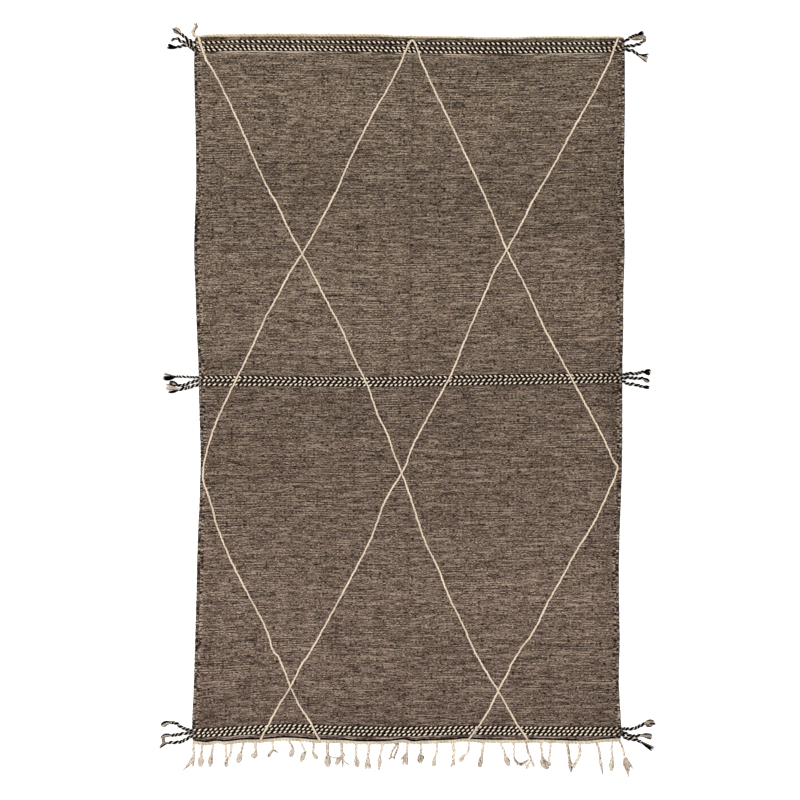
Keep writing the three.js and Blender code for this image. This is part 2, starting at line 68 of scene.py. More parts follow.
world = bpy.data.worlds.new("paleStudio")
world.use_nodes = True
background = world.node_tree.nodes["Background"].inputs
background["Color"].default_value = (1, 1, 1, 1)
background["Strength"].default_value = studio["worldStrength"]
bpy.context.scene.world = world
bpy.context.scene.view_settings.view_transform = "Standard"


class Wire:  # one socket, with Python's operators adding Math nodes
    def __init__(self, look, socket):
        self.look, self.socket = look, socket

    def step(self, operation, *values):
        return self.look.node("ShaderNodeMath", {"operation": operation}, dict(enumerate(values)))

    def __add__(self, other): return self.step("ADD", self, other)
    def __radd__(self, other): return self.step("ADD", other, self)
    def __sub__(self, other): return self.step("SUBTRACT", self, other)
    def __rsub__(self, other): return self.step("SUBTRACT", other, self)
    def __mul__(self, other): return self.step("MULTIPLY", self, other)
    def __rmul__(self, other): return self.step("MULTIPLY", other, self)
    def __truediv__(self, other): return self.step("DIVIDE", self, other)
    def __abs__(self): return self.step("ABSOLUTE", self)
    def floor(self): return self.step("FLOOR", self)
    def fract(self): return self.step("FRACT", self)
    def sign(self): return self.step("SIGN", self)
    def sine(self): return self.step("SINE", self)
    def positive(self): return self.step("MAXIMUM", self, 0.0)
    def share(self, most=1.0): return self.step("MINIMUM", self.positive(), most)


class Look:  # a material and the one method that adds its nodes
    def __init__(self, name):
        self.material = bpy.data.materials.new(name)
        self.material.use_nodes = True
        self.nodes = self.material.node_tree.nodes
        self.links = self.material.node_tree.links
        self.nodes.clear()

    def node(self, kind, settings=None, inputs=None, output=0):
        made = self.nodes.new(kind)
        for name, value in (settings or {}).items():
            if name == "stops":
                ramp = made.color_ramp
                while len(ramp.elements) < len(value):
                    ramp.elements.new(0.5)
                for element, (place, colour) in zip(ramp.elements, value):
                    element.position = place
                    element.color = (*colour, 1)
            else:
                setattr(made, name, value)
        for name, value in (inputs or {}).items():
            if isinstance(value, Wire):
                self.links.new(value.socket, made.inputs[name])
            else:
                made.inputs[name].default_value = value
        return Wire(self, made.outputs[output] if made.outputs else None)

    def ramp(self, value, stops):
        return self.node("ShaderNodeValToRGB", {"stops": stops}, {"Fac": value})

    def blend(self, share, first, second, how="MIX"):
        settings = {"data_type": "RGBA", "blend_type": how}
        return self.node("ShaderNodeMix", settings, {0: share, 6: first, 7: second}, output=2)

    def stain(self, colour, share, tone):  # lays a tone over a share of the surface
        return self.blend(share, colour, (*tone, 1))

    def tint(self, colour, strength):  # a colour made darker or lighter by a value
        grey = self.node("ShaderNodeCombineColor", None, {0: strength, 1: strength, 2: strength})
        return self.blend(1.0, colour, grey, "MULTIPLY")

    def place(self, x, y):
        return self.node("ShaderNodeCombineXYZ", None, {0: x, 1: y})

    def split(self, vector):
        first = self.node("ShaderNodeSeparateXYZ", None, {0: vector})
        return [Wire(self, socket) for socket in first.socket.node.outputs]

    def uv(self, name):
        return self.split(self.node("ShaderNodeUVMap", {"uv_map": name}))[:2]

    def attribute(self, name):
        return self.node("ShaderNodeAttribute", {"attribute_name": name}, output="Fac")

    def objectPoint(self):
        return self.split(self.node("ShaderNodeTexCoord", output="Object"))

    def noise(self, x, y, detail=1.0, roughness=0.5):
        return self.node("ShaderNodeTexNoise", {"noise_dimensions": "2D"},
                         {"Vector": self.place(x, y), "Scale": 1.0, "Detail": detail,
                          "Roughness": roughness})

    def chance(self, x, y):
        return self.node("ShaderNodeTexWhiteNoise", {"noise_dimensions": "2D"},
                         {"Vector": self.place(x, y)})

    def finish(self, colour, roughness, height=None, strength=0.5, distance=0.001, sheen=0.0,
               glow=0.0):
        inputs = {"Base Color": colour, "Roughness": roughness, "Sheen Weight": sheen,
                  "Sheen Roughness": 0.6, "Specular IOR Level": 0.02}
        if glow:
            inputs["Emission Color"] = (1, 1, 1, 1)
            inputs["Emission Strength"] = glow
        if height is not None:
            inputs["Normal"] = self.node("ShaderNodeBump", None, {
                "Strength": strength, "Distance": distance, "Height": height})
        surface = self.node("ShaderNodeBsdfPrincipled", None, inputs)
        self.node("ShaderNodeOutputMaterial", None, {"Surface": surface})
        return self.material


bpy.ops.mesh.primitive_plane_add(size=studio["floorSize"],
                                 location=(0, 0, studio["floorHeight"]))
floor = bpy.context.object
floor.name = "paleFloor"
floorLook = Look("whiteFloor").finish(studio["floorColour"], 0.9, glow=studio["floorGlow"])
floor.data.materials.append(floorLook)
print("studio and floor ready")

# Lines that the solids were built on.
sideEdges = [  # height along the rug, left edge, right edge
    (-1.41, -0.865, 0.847), (-1.35, -0.868, 0.849), (-1.18, -0.861, 0.84), (-1.01, -0.856, 0.843),
    (-0.87, -0.852, 0.841), (-0.75, -0.849, 0.84), (-0.6, -0.845, 0.842), (-0.44, -0.838, 0.848),
    (-0.27, -0.834, 0.853), (-0.05, -0.84, 0.854), (0.11, -0.843, 0.854), (0.21, -0.848, 0.857),
    (0.38, -0.854, 0.858), (0.57, -0.86, 0.863), (0.84, -0.852, 0.86), (1.12, -0.856, 0.864),
    (1.29, -0.86, 0.864), (1.404, -0.856, 0.862),
]
topHeadingLine = [
    (-0.852, 1.411), (-0.76, 1.415), (-0.13, 1.415), (-0.04, 1.411), (0.23, 1.408), (0.3, 1.405),
    (0.44, 1.405), (0.5, 1.408), (0.856, 1.408),
]
bottomHeadingLine = [
    (-0.864, -1.414), (-0.808, -1.42), (-0.776, -1.414), (-0.74, -1.417), (-0.664, -1.41),
    (-0.6, -1.409), (-0.504, -1.402), (-0.436, -1.404), (-0.388, -1.409), (-0.256, -1.412),
    (-0.208, -1.416), (-0.096, -1.416), (-0.02, -1.41), (0.016, -1.417), (0.052, -1.414),
    (0.18, -1.41), (0.224, -1.405), (0.276, -1.409), (0.412, -1.411), (0.544, -1.41),
    (0.708, -1.415), (0.776, -1.408), (0.842, -1.404),
]
bandRows = {  # across the rug, then the first, second and third cord
    "top": [
        (-0.788, 1.386, 1.367, 1.3555), (-0.676, 1.39, 1.371, 1.3595),
        (-0.076, 1.386, 1.365, 1.353), (0.124, 1.382, 1.362, 1.347), (0.78, 1.383, 1.364, 1.352),
        (0.856, 1.391, 1.371, 1.3585),
    ],
    "middle": [
        (-0.796, 0.0465, 0.0345, 0.018), (-0.656, 0.047, 0.0345, 0.017),
        (-0.476, 0.043, 0.03, 0.0175), (-0.156, 0.0415, 0.028, 0.015),
        (0.064, 0.046, 0.0305, 0.0175), (0.524, 0.0535, 0.0405, 0.0255),
        (0.804, 0.057, 0.044, 0.0305),
    ],
    "bottom": [
        (-0.836, -1.364, -1.376, -1.388), (-0.484, -1.346, -1.3585, -1.3705),
        (-0.276, -1.353, -1.366, -1.3795), (0.004, -1.357, -1.3705, -1.383),
        (0.244, -1.353, -1.365, -1.377), (0.504, -1.3555, -1.368, -1.381),
        (0.804, -1.358, -1.37, -1.382),
    ],
}
trenchCords = {"top": [(1, 1), (2, 3)], "middle": [(1, 3)], "bottom": [(1, 3)]}
cordNames = {1: "first", 2: "second", 3: "third"}


def follow(rows, column, at):  # smooth curve through a table's rows
    keys = np.array([row[0] for row in rows])
    values = np.array([row[column] for row in rows])
    slopes = np.empty(len(rows))
    slopes[1:-1] = (values[2:] - values[:-2]) / (keys[2:] - keys[:-2])
    slopes[0] = (values[1] - values[0]) / (keys[1] - keys[0])
    slopes[-1] = (values[-1] - values[-2]) / (keys[-1] - keys[-2])
    k = np.clip(np.searchsorted(keys, at, side="right") - 1, 0, len(rows) - 2)
    span = keys[k + 1] - keys[k]
    t = np.clip((np.asarray(at) - keys[k]) / span, 0, 1)
    s = 1 - t
    return (values[k] * (1 + 2 * t) * s * s + values[k + 1] * (1 + 2 * s) * t * t
            + span * s * t * (slopes[k] * s - slopes[k + 1] * t))


def pathLength(path):
    return np.concatenate([[0], np.cumsum(np.linalg.norm(np.diff(path, axis=0), axis=1))])


def evenPath(points, step):
    along = pathLength(points)
    at = np.linspace(0, along[-1], max(2, int(round(along[-1] / step)) + 1))
    return np.stack([np.interp(at, along, points[:, k]) for k in range(points.shape[1])], 1)


def smoothPath(points, step, samples=12):  # even points on a round curve through these
    points = np.asarray(points, dtype=float)
    ends = np.vstack([2 * points[0] - points[1], points, 2 * points[-1] - points[-2]])
    t = np.linspace(0, 1, samples + 1)[:-1, None]
    pieces = []
    for a, b, c, d in zip(ends, ends[1:], ends[2:], ends[3:]):
        pieces.append(0.5 * (2 * b + (c - a) * t + (2 * a - 5 * b + 4 * c - d) * t ** 2
                             + (3 * b - a - 3 * c + d) * t ** 3))
    return evenPath(np.vstack([*pieces, points[-1:]]), step)


def unit(vectors, least=1e-12):
    return vectors / (np.linalg.norm(vectors, axis=1)[:, None] + least)


def ease(share):
    return share * share * (3 - 2 * share)


def spread(value, count):
    return np.broadcast_to(np.asarray(value, dtype=float), count)


def altered(yarn, **factors):  # the same yarn with some of its measures multiplied
    return {**yarn, **{measure: yarn[measure] * factor for measure, factor in factors.items()}}


class Skein:  # strands gathered into one mesh
    def __init__(self, seed):
        self.random = random.Random(seed)
        self.rings, self.faces, self.uvs, self.shades, self.count = [], [], [], [], 0

    def strand(self, path, width, height, shade, sides=6):
        path = np.asarray(path, dtype=float)
        n = len(path)
        tangent = unit(np.gradient(path, axis=0))
        side = unit(np.cross(tangent, (0, 0, 1.0)), 1e-9)
        lift = np.cross(side, tangent)
        half = [(spread(size, n) / 2)[:, None, None] for size in (width, height)]
        angle = 2 * math.pi * np.arange(sides) / sides
        ring = (path[:, None, :] + side[:, None, :] * half[0] * np.cos(angle)[None, :, None]
                + lift[:, None, :] * half[1] * np.sin(angle)[None, :, None])
        self.rings.append(ring.reshape(-1, 3))
        self.shades.append(np.repeat(spread(shade, n), sides))
        along = pathLength(path)
        k, s = np.meshgrid(np.arange(n - 1), np.arange(sides), indexing="ij")
        a = self.count + k * sides + s
        b = self.count + k * sides + (s + 1) % sides
        self.faces += np.stack([a, a + sides, b + sides, b], -1).reshape(-1, 4).tolist()
        u0, u1 = s / sides, (s + 1) / sides
        v0, v1 = along[k], along[k + 1]
        self.uvs.append(np.stack([u0, v0, u0, v1, u1, v1, u1, v0], -1).reshape(-1))
        self.faces.append([self.count + j for j in range(sides)])
        self.faces.append([self.count + (n - 1) * sides + j for j in reversed(range(sides))])
        self.uvs.append(np.zeros(2 * sides))
        self.uvs.append(np.full(2 * sides, along[-1]))
        self.count += n * sides

    def twist(self, path, yarn, shades, hand=1, phase=0.0, sides=7, shadow=0.25,
              firstWider=0.0):  # strands wound about one line, one strand for each shade
        path = np.asarray(path, dtype=float)
        n = len(path)
        pitch, swing, lift = [spread(yarn[measure], n) for measure in ("pitch", "swing", "lift")]
        turn = np.concatenate([[0], np.cumsum(np.diff(pathLength(path)) / pitch[1:])])
        tangent = np.gradient(path, axis=0)
        tangent[:, 2] = 0
        tangent = unit(tangent)
        across = np.stack([-tangent[:, 1], tangent[:, 0], np.zeros(n)], 1)
        for k, shade in enumerate(shades):
            angle = hand * 2 * math.pi * turn + phase + 2 * math.pi * k / len(shades)
            line = path + across * (swing * np.cos(angle))[:, None]
            line[:, 2] += lift * np.sin(angle)
            dip = np.clip(0.62 - np.sin(angle), 0, 1) * shadow  # painted shade where the strand goes under
            wider = 1 + firstWider if k == 0 else 1 - 0.5 * firstWider
            self.strand(line, yarn["width"] * wider, yarn["height"], shade * (1 - dip), sides)

    def piece(self, name, material, slotName):
        mesh = bpy.data.meshes.new(name)
        mesh.from_pydata(np.vstack(self.rings).tolist(), [], self.faces)
        mesh.uv_layers.new(name="alongYarn").data.foreach_set("uv", np.concatenate(self.uvs))
        shade = mesh.attributes.new("shade", "FLOAT", "POINT")
        shade.data.foreach_set("value", np.concatenate(self.shades).astype(np.float32))
        return addPiece(name, mesh, material)


def addPiece(name, mesh, material):
    mesh.polygons.foreach_set("use_smooth", [True] * len(mesh.polygons))
    mesh.update()
    made = bpy.data.objects.new(name, mesh)
    bpy.context.scene.collection.objects.link(made)
    mesh.materials.append(material)
    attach(made, "root")
    return made


yarnLook = {
    "fibre": (6, 260), "slub": (0.8, 45), "slubShare": 0.16, "turn": 6.283,
    "fibreLight": 0.5, "plyLight": 0.22, "roughness": 0.92, "bump": 0.55, "bumpDepth": 0.0006,
    "brown": (0.15, 0.10, 0.07), "brownPatch": (150, 120), "brownFrom": 0.56,
    "glint": (0.95, 0.85, 0.72), "glintPatch": (140, 120), "glintFrom": 0.50,
}


def woolYarn(name, stops, plyPitch=0.009, ply=0.5, sheen=0.04, fleck=0.0, glints=0.0):
    look = Look(name)  # coloured by the shade that each strand carries
    shape = yarnLook
    u, v = look.uv("alongYarn")
    fibre = look.noise(u * shape["fibre"][0], v * shape["fibre"][1], 3.0, 0.6)
    slub = look.noise(u * shape["slub"][0], v * shape["slub"][1], 2.0)
    turns = u * (2 * shape["turn"]) + v * (shape["turn"] / plyPitch)
    plies = turns.sine() * 0.5 + 0.5
    tone = look.ramp(look.attribute("shade") + (slub - 0.5) * shape["slubShare"], stops)
    if fleck:
        x, y, _ = look.objectPoint()
        patch = look.noise(x * shape["brownPatch"][0], y * shape["brownPatch"][1])
        share = ((patch - shape["brownFrom"]) * 6).share()
        tone = look.stain(tone, share * fleck, shape["brown"])
        patch = look.noise(x * shape["glintPatch"][0] + 40.0, y * shape["glintPatch"][1])
        share = ((patch - shape["glintFrom"]) * 5).share(glints)
        tone = look.stain(tone, share, shape["glint"])
    # painted shade in the grooves between the plies, with the fibres' own tone
    light = (fibre - 0.5) * shape["fibreLight"] + (plies - 0.5) * shape["plyLight"] * ply + 1.0
    return look.finish(look.tint(tone, light), shape["roughness"], plies * ply + fibre * 0.8,
                       shape["bump"], shape["bumpDepth"], sheen=sheen)


twinedWool = woolYarn("blackAndCreamYarn", [
    (0.00, (0.0016, 0.0010, 0.0008)), (0.25, (0.007, 0.0045, 0.0035)),
    (0.45, (0.16, 0.112, 0.080)), (0.70, (0.60, 0.47, 0.355)), (1.00, (1.0, 0.88, 0.72))],
    sheen=0.0)
creamWool = woolYarn("latticeCreamYarn", [
    (0.00, (0.16, 0.115, 0.075)), (0.45, (0.50, 0.39, 0.29)), (1.00, (0.94, 0.78, 0.60))],
    plyPitch=0.011, ply=0.35)
headingWool = woolYarn("headingCreamYarn", [
    (0.00, (0.15, 0.12, 0.075)), (0.45, (0.50, 0.40, 0.27)), (1.00, (0.84, 0.72, 0.53))],
    fleck=0.35)
fringeWool = woolYarn("fringeCreamYarn", [
    (0.00, (0.060, 0.040, 0.030)), (0.40, (0.47, 0.365, 0.28)), (0.75, (0.80, 0.68, 0.56)),
    (1.00, (0.96, 0.86, 0.74))], fleck=0.7, glints=0.7)
edgeWool = woolYarn("selvedgeBrownYarn", [
    (0.00, (0.0035, 0.003, 0.0025)), (0.35, (0.055, 0.040, 0.030)),
    (0.60, (0.17, 0.125, 0.092)), (1.00, (0.66, 0.54, 0.42))])
print("yarn finishes ready")

clothShape = {
    "thickness": 0.005, "endHeight": 0.0036, "endStep": 0.0025, "inset": 0.0026, "width": 1.70,
    "columnStep": 0.0132, "lineStep": 0.0098,
    "edgeSteps": [0, 0.0012, 0.004, 0.010, 0.017],  # in from the side, and the drop there
    "edgeDrops": [0.0026, 0.0014, 0.0011, 0.0008, 0],
    "trenchFloor": 0.002, "trenchWall": 0.0057, "trenchSlope": 0.0006, "trenchLip": 0.003,
    "lipDrop": -0.0003,
    "creaseDepth": 0.0009, "creaseHalfWidth": 0.011, "creaseSpan": 0.022, "creaseColumns": 9,
    "creaseShift": 0.006, "unevenness": 0.0006, "headingClear": {"top": 0.0048, "bottom": 0.0063},
}
creaseLine = [
    (-1.4, -0.016), (-1.164, -0.012), (-0.844, -0.001), (-0.524, 0.006), (-0.144, 0.009),
    (0.296, 0.004), (0.716, 0.004), (1.116, 0.01), (1.4, 0.01),
]
bakeMap = {"halfLength": 1.44, "halfWidth": 0.88, "margin": 0.004, "topShare": 0.61,
           "belowFrom": 0.63, "belowShare": 0.36, "wallTop": 0.620, "wallFoot": 0.624}


def clothEnd(which, x):
    if which == "top":
        return follow(topHeadingLine, 1, x) - clothShape["headingClear"]["top"]
    return follow(bottomHeadingLine, 1, x) + clothShape["headingClear"]["bottom"]


def acrossAt(share, line):  # where a share of the cloth's width falls on a line across it
    inset = clothShape["inset"]
    y = line(np.zeros_like(share))
    for _ in range(3):
        left = follow(sideEdges, 1, y) + inset
        right = follow(sideEdges, 2, y) - inset
        x = left + (right - left) * share
        y = line(x)
    return x, y


def clothTop(x, y):
    shape = clothShape
    fold = np.abs(x - follow(creaseLine, 1, y)) / shape["creaseHalfWidth"]
    fold = ease(np.clip(1 - fold, 0, 1))
    wave = (0.5 + 0.22 * np.sin(x * 4.8 + y * 2.9) + 0.2 * np.sin(y * 6.5 - x * 2.0)
            + 0.08 * np.sin(x * 21 + 2 * np.sin(y * 5)))
    return shape["thickness"] - shape["creaseDepth"] * fold - shape["unevenness"] * wave


def clothLines():  # lines across the cloth from the fringed end up, with a height where one is set
    shape = clothShape
    lines = [(lambda x: clothEnd("bottom", x), shape["endHeight"]),
             (lambda x: clothEnd("bottom", x) + shape["endStep"], None)]
    wall, slope, lip = shape["trenchWall"], shape["trenchSlope"], shape["trenchLip"]
    for band in ("bottom", "middle", "top"):
        rows = bandRows[band]
        for highest, lowest in reversed(trenchCords[band]):
            low = lambda x, rows=rows, c=lowest: follow(rows, c, x) - wall
            high = lambda x, rows=rows, c=highest: follow(rows, c, x) + wall
            lines += [(lambda x, f=low: f(x) - slope - lip, None),
                      (lambda x, f=low: f(x) - slope, shape["lipDrop"]),
                      (low, shape["trenchFloor"]), (high, shape["trenchFloor"]),
                      (lambda x, f=high: f(x) + slope, shape["lipDrop"]),
                      (lambda x, f=high: f(x) + slope + lip, None)]
    lines += [(lambda x: clothEnd("top", x) - shape["endStep"], None),
              (lambda x: clothEnd("top", x), shape["endHeight"])]
    filled = [lines[0]]
    for (before, _), (line, height) in zip(lines, lines[1:]):
        zero = np.zeros(1)
        parts = max(1, int(round((line(zero) - before(zero))[0] / shape["lineStep"])))
        inTrench = height == shape["trenchFloor"] and filled[-1][1] == height
        for k in range(1, 1 if inTrench else parts):
            filled.append((lambda x, a=before, b=line, t=k / parts: a(x) + (b(x) - a(x)) * t,
                           None))
        filled.append((line, height))
    return filled


def clothColumns():  # shares of the width, close at the sides and beside the crease
    shape = clothShape
    width, crease = shape["width"], shape["creaseSpan"]
    steps = np.array(shape["edgeSteps"]) / width
    half = 0.5 - crease / width
    count = int(width / shape["columnStep"] / 2)
    near = np.concatenate([steps[:4], np.linspace(steps[4], half, count)])
    middle = np.linspace(half, 1 - half, shape["creaseColumns"] + 2)[1:-1]
    shares = np.concatenate([near, middle, (1 - near)[::-1]])
    shift = float(-follow(sideEdges, 1, 0.0)) / width - 0.5
    pull = np.clip(1 - np.abs(shares - 0.5) * 2, 0, 1) ** 0.5
    return shares + (shift + shape["creaseShift"] / width) * pull


def bakeLayout(top, corners, wallStart):  # the upper face above, the underside below
    fit, total = bakeMap, len(top)
    flat = np.stack([(top[:, 1] + fit["halfLength"]) / (2 * fit["halfLength"]),
                     (top[:, 0] + fit["halfWidth"]) / (2 * fit["halfWidth"])], 1)
    onTop = corners < total
    flat = flat[corners % total]
    bake = np.empty((len(corners), 2))
    bake[:, 0] = fit["margin"] + (1 - 2 * fit["margin"]) * flat[:, 0]
    bake[:, 1] = np.where(onTop, fit["margin"] + fit["topShare"] * flat[:, 1],
                          fit["belowFrom"] + fit["belowShare"] * flat[:, 1])
    bake[wallStart:, 1] = np.where(onTop[wallStart:], fit["wallTop"], fit["wallFoot"])
    return bake


def makeCloth():
    shape = clothShape
    shares = clothColumns()
    points, weave = [], []
    away = {"fromRows": [], "underTop": [], "fromBottom": [], "fromTop": [], "fromSide": []}
    for line, height in clothLines():
        x, y = acrossAt(shares, line)
        edge = np.minimum(shares, 1 - shares) * shape["width"]
        z = clothTop(x, y) - np.interp(edge, shape["edgeSteps"], shape["edgeDrops"])
        if height is not None:
            z = np.minimum(z, height) if height > 0 else z + height
        points.append(np.stack([x, y, z], 1))
        along = float(line(np.zeros(1))[0])
        weave.append(np.stack([x - follow(creaseLine, 1, y), np.full(len(x), along)], 1))
        away["fromRows"].append(np.min([np.abs(y - follow(bandRows[band], cord, x))
                                        for band in bandRows for cord in cordNames], axis=0))
        away["underTop"].append(follow(bandRows["top"], 3, x) - y)
        away["fromBottom"].append(y - clothEnd("bottom", x))
        away["fromTop"].append(clothEnd("top", x) - y)
        away["fromSide"].append(edge)
    rows, columns = len(points), len(shares)
    top = np.vstack(points)
    below = top.copy()
    below[:, 2] = 0
    total = rows * columns
    j, i = np.meshgrid(np.arange(rows - 1), np.arange(columns - 1), indexing="ij")
    a = (j * columns + i).reshape(-1)
    upper = np.stack([a, a + 1, a + columns + 1, a + columns], 1)
    rim = np.concatenate([np.arange(columns), np.arange(1, rows) * columns + columns - 1,
                          (rows - 1) * columns + np.arange(columns - 2, -1, -1),
                          np.arange(rows - 2, 0, -1) * columns])
    after = np.roll(rim, -1)
    wallFaces = np.stack([rim, rim + total, after + total, after], 1)
    faces = np.vstack([upper, upper[:, ::-1] + total, wallFaces])
    mesh = bpy.data.meshes.new("rugCloth")
    mesh.from_pydata(np.vstack([top, below]).tolist(), [], faces.tolist())
    corners = faces.reshape(-1)
    layouts = {"weave": np.vstack(weave)[corners % total],
               "OFBake": bakeLayout(top, corners, 2 * upper.size)}
    for name, layout in layouts.items():
        mesh.uv_layers.new(name=name).data.foreach_set("uv", layout.reshape(-1))
    for name, distances in away.items():
        values = np.tile(np.concatenate(distances).astype(np.float32), 2)
        mesh.attributes.new(name, "FLOAT", "POINT").data.foreach_set("value", values)
    print("cloth:", rows, "lines by", columns, "columns,", 2 * len(faces), "triangles")
    return mesh


weaveLook = {  # lengths in metres, shares and tones
    "weftPitch": 0.0033, "dash": 0.0100, "threadPitch": 0.0044, "ribPitch": 0.0094,
    "wander": 0.010, "contrast": 1.05, "turn": 6.2832,
    "dashShare": 0.25, "heatherShare": 1.45, "streakShare": 0.55, "pickShare": 0.42,
    "ribShare": 0.20, "holeLevel": 0.265, "gapShade": 0.6, "gapReach": 0.0100,
    "gapSoft": 0.0035, "hemSoft": 0.005, "stitchPitch": 0.0105, "foldHalfWidth": 0.0095,
    "brightness": 1.89, "roughness": 0.95, "bump": 0.6, "bumpDepth": 0.0009,
    "browns": [
        (0.00, (0.016, 0.011, 0.008)), (0.25, (0.056, 0.040, 0.029)),
        (0.42, (0.118, 0.083, 0.060)), (0.56, (0.175, 0.128, 0.095)),
        (0.75, (0.270, 0.207, 0.157)), (1.00, (0.50, 0.41, 0.32))],
    "hues": [
        (0.30, (0.480, 0.50, 0.455)), (0.50, (0.50, 0.50, 0.49)), (0.70, (0.520, 0.498, 0.52))],
    "batchPlaces": [0, 0.2, 0.47, 0.64, 0.78, 0.9, 1],  # from the fringed end, dark first
    "batchTones": (0.45, 0.55), "batchGreen": 0.94, "greenRise": 0.06, "batchBlue": 0.99,
    "strayThreads": [  # rates across and up, place in noise, detail, level, rise, most, tone
        (9, 7.9, 11.0, 1.0, 0.66, 14, 0.6, (0.42, 0.335, 0.26)),
        (12, 6.7, 31.0, 1.0, 0.335, -18, 0.8, (0.020, 0.015, 0.012)),
        (2.6, 3.1, 57.0, 2.0, 0.35, -9, 0.55, (0.030, 0.023, 0.019))],
    "standingWefts": [  # measured from, distance, half width, tone, share, place in noise, gaps
        ("underTop", 0.0095, 0.0030, (0.66, 0.52, 0.40), 0.9, 2.3, 0.40),
        ("underTop", 0.0135, 0.0028, (0.026, 0.019, 0.013), 0.8, 8.1, 0.40),
        ("underTop", 0.0172, 0.0026, (0.50, 0.40, 0.30), 0.6, 15.7, 0.40),
        ("fromBottom", 0.0105, 0.0026, (0.56, 0.48, 0.40), 0.8, 21.9, 0.46),
        ("fromBottom", 0.0135, 0.0026, (0.026, 0.019, 0.018), 0.8, 27.2, 0.40),
        ("fromBottom", 0.0172, 0.0026, (0.56, 0.47, 0.39), 0.8, 33.4, 0.48),
        ("fromBottom", 0.0205, 0.0026, (0.030, 0.022, 0.018), 0.7, 51.4, 0.40),
        # these two rows, against the headings, are dark wefts together with the headings' painted
        # shadow
        ("fromBottom", 0.0034, 0.0062, (0.003, 0.002, 0.001), 1.0, 39.5, 0.28),
        ("fromTop", 0.0015, 0.0055, (0.036, 0.027, 0.010), 0.9, 45.1, 0.40)],
}


def dyeBatches():  # dark and light wool by turns, slightly redder at the fringed end
    shape = weaveLook
    stops = []
    for k, at in enumerate(shape["batchPlaces"]):
        tone = shape["batchTones"][k % 2]
        green = shape["batchGreen"] + shape["greenRise"] * at
        stops.append((at, (tone, tone * green, tone * shape["batchBlue"])))
    return stops


def brownWeave():
    look = Look("brownWeftFacedWeave")
    shape = weaveLook
    noise, turn, halfTurn = look.noise, shape["turn"], shape["turn"] / 2
    u, v = look.uv("weave")
    wander = noise(u * 2.2, v * 6, 2.0) * shape["wander"]
    row = (v + wander) / shape["weftPitch"]
    along, row = row.fract(), row.floor()
    dash = u / shape["dash"] + look.chance(row, 3.7) * 7.0 + noise(u * 30, row * 0.37)
    thread = (v + wander * 1.2) / shape["threadPitch"]
    fine, thread = (thread.fract() * halfTurn).sine(), thread.floor()
    heather = noise(u * 130, v * 300, 1.0, 0.7)
    streak = noise(u * 17, thread * 5.3)
    pick = noise(u * 2.4, row * 4.9 + 17.0)
    sway = noise(u * 1.2, v * 5) * 8.0
    rib = ((v + wander) * (turn / shape["ribPitch"]) + sway).sine()
    ribbed = ((noise(u * 3.4, v * 7 + 3.0) - 0.44) * 3.0).share()
    tone = ((look.chance(dash.floor(), row) - 0.5) * shape["dashShare"]
            + (heather - 0.5) * shape["heatherShare"] + (streak - 0.5) * shape["streakShare"]
            + (pick - 0.5) * shape["pickShare"] + rib * ribbed * shape["ribShare"])
    colour = look.ramp(tone * shape["contrast"] + 0.5, shape["browns"])

    # Stray threads and holes, then a slow change of hue.
    for across, up, place, detail, level, rise, most, wool in shape["strayThreads"]:
        mark = (noise(u * across, thread * up + place, detail) - level) * rise
        colour = look.stain(colour, (mark * fine).share(most), wool)
    hole = (shape["holeLevel"] - noise(u * 55, v * 165 + 5.0, 0.0)) * 40
    colour = look.stain(colour, hole.share(0.85), (0.006, 0.004, 0.003))
    hue = look.ramp(noise(u * 28, v * 45 + 9.0, 2.0), shape["hues"])
    colour = look.tint(look.blend(1.0, colour, hue, "MULTIPLY"), 2.0)

    # Shade between the twined rows, and the wefts that stand out beside them.
    away = {name: look.attribute(name)
            for name in ("fromRows", "underTop", "fromBottom", "fromTop", "fromSide")}
    gap = ((shape["gapReach"] - away["fromRows"]) / shape["gapSoft"]).share()
    colour = look.stain(colour, gap * shape["gapShade"], (0.016, 0.010, 0.007))
    for measure, centre, half, weft, share, place, gaps in shape["standingWefts"]:
        sway = (noise(u * 60, place + 60.0, 2.0) - 0.5) * 0.008
        near = ((1.0 - abs(away[measure] + sway - centre) / half) * 2.2).share()
        worn = ((noise(u * 8, place, 2.0) - gaps) * 7).share()
        colour = look.stain(colour, near * worn * share, weft)

    # Dark and pale stitches along both sides.
    hem = noise(u.sign() * 3.0, v * 9) * 0.016 + 0.019
    hem = ((hem - away["fromSide"]) / shape["hemSoft"]).share()
    bend = noise(u * 26, v * 14) * 9.0
    stitch = noise(u * 62, v * 170 + 80.0)
    stitch = stitch + (v * (turn / shape["stitchPitch"]) + bend).sine() * 0.05
    ink = ((u * 0.022 + 0.475 - stitch) * 14).share(0.93)
    fleck = ((stitch - 0.57) * 12).share(0.6)
    colour = look.stain(colour, ink * hem, (0.010, 0.007, 0.006))
    colour = look.stain(colour, fleck * hem, (0.56, 0.42, 0.30))

    # Light and dark zones, painted shade along the crease, the right side and the wool's dye
    # batches.
    zone = noise(u * 1.3, v * 2.6, 2.0) * 0.5 + shape["brightness"]
    # painted shade along the crease
    crease = ((v + 0.1) * 2).share() * 0.17 + 0.13
    fold = (1.0 - abs(u - v * 0.004) / shape["foldHalfWidth"]).positive()
    fold = 1.0 - fold * crease
    side = 1.0 - ((u - 0.72) * 1.6).positive()
    batches = look.ramp((v + wander * 1.5 + 1.415) / 2.84, dyeBatches())
    colour = look.tint(look.blend(1.0, colour, batches, "MULTIPLY"), zone * fold * side)
    # painted shade in the grooves between weft rows and dashes; the same profile drives the bump
    profile = (along * halfTurn).sine() * (0.55 + 0.45 * (dash.fract() * halfTurn).sine())
    return look.finish(look.tint(colour, 0.80 + 0.27 * profile), shape["roughness"],
                       profile + heather * 0.5, shape["bump"], shape["bumpDepth"])


clothMaterial = brownWeave()
rugCloth = addPiece("rug_cloth", makeCloth(), clothMaterial)
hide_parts("cloth")
print("cloth ready")

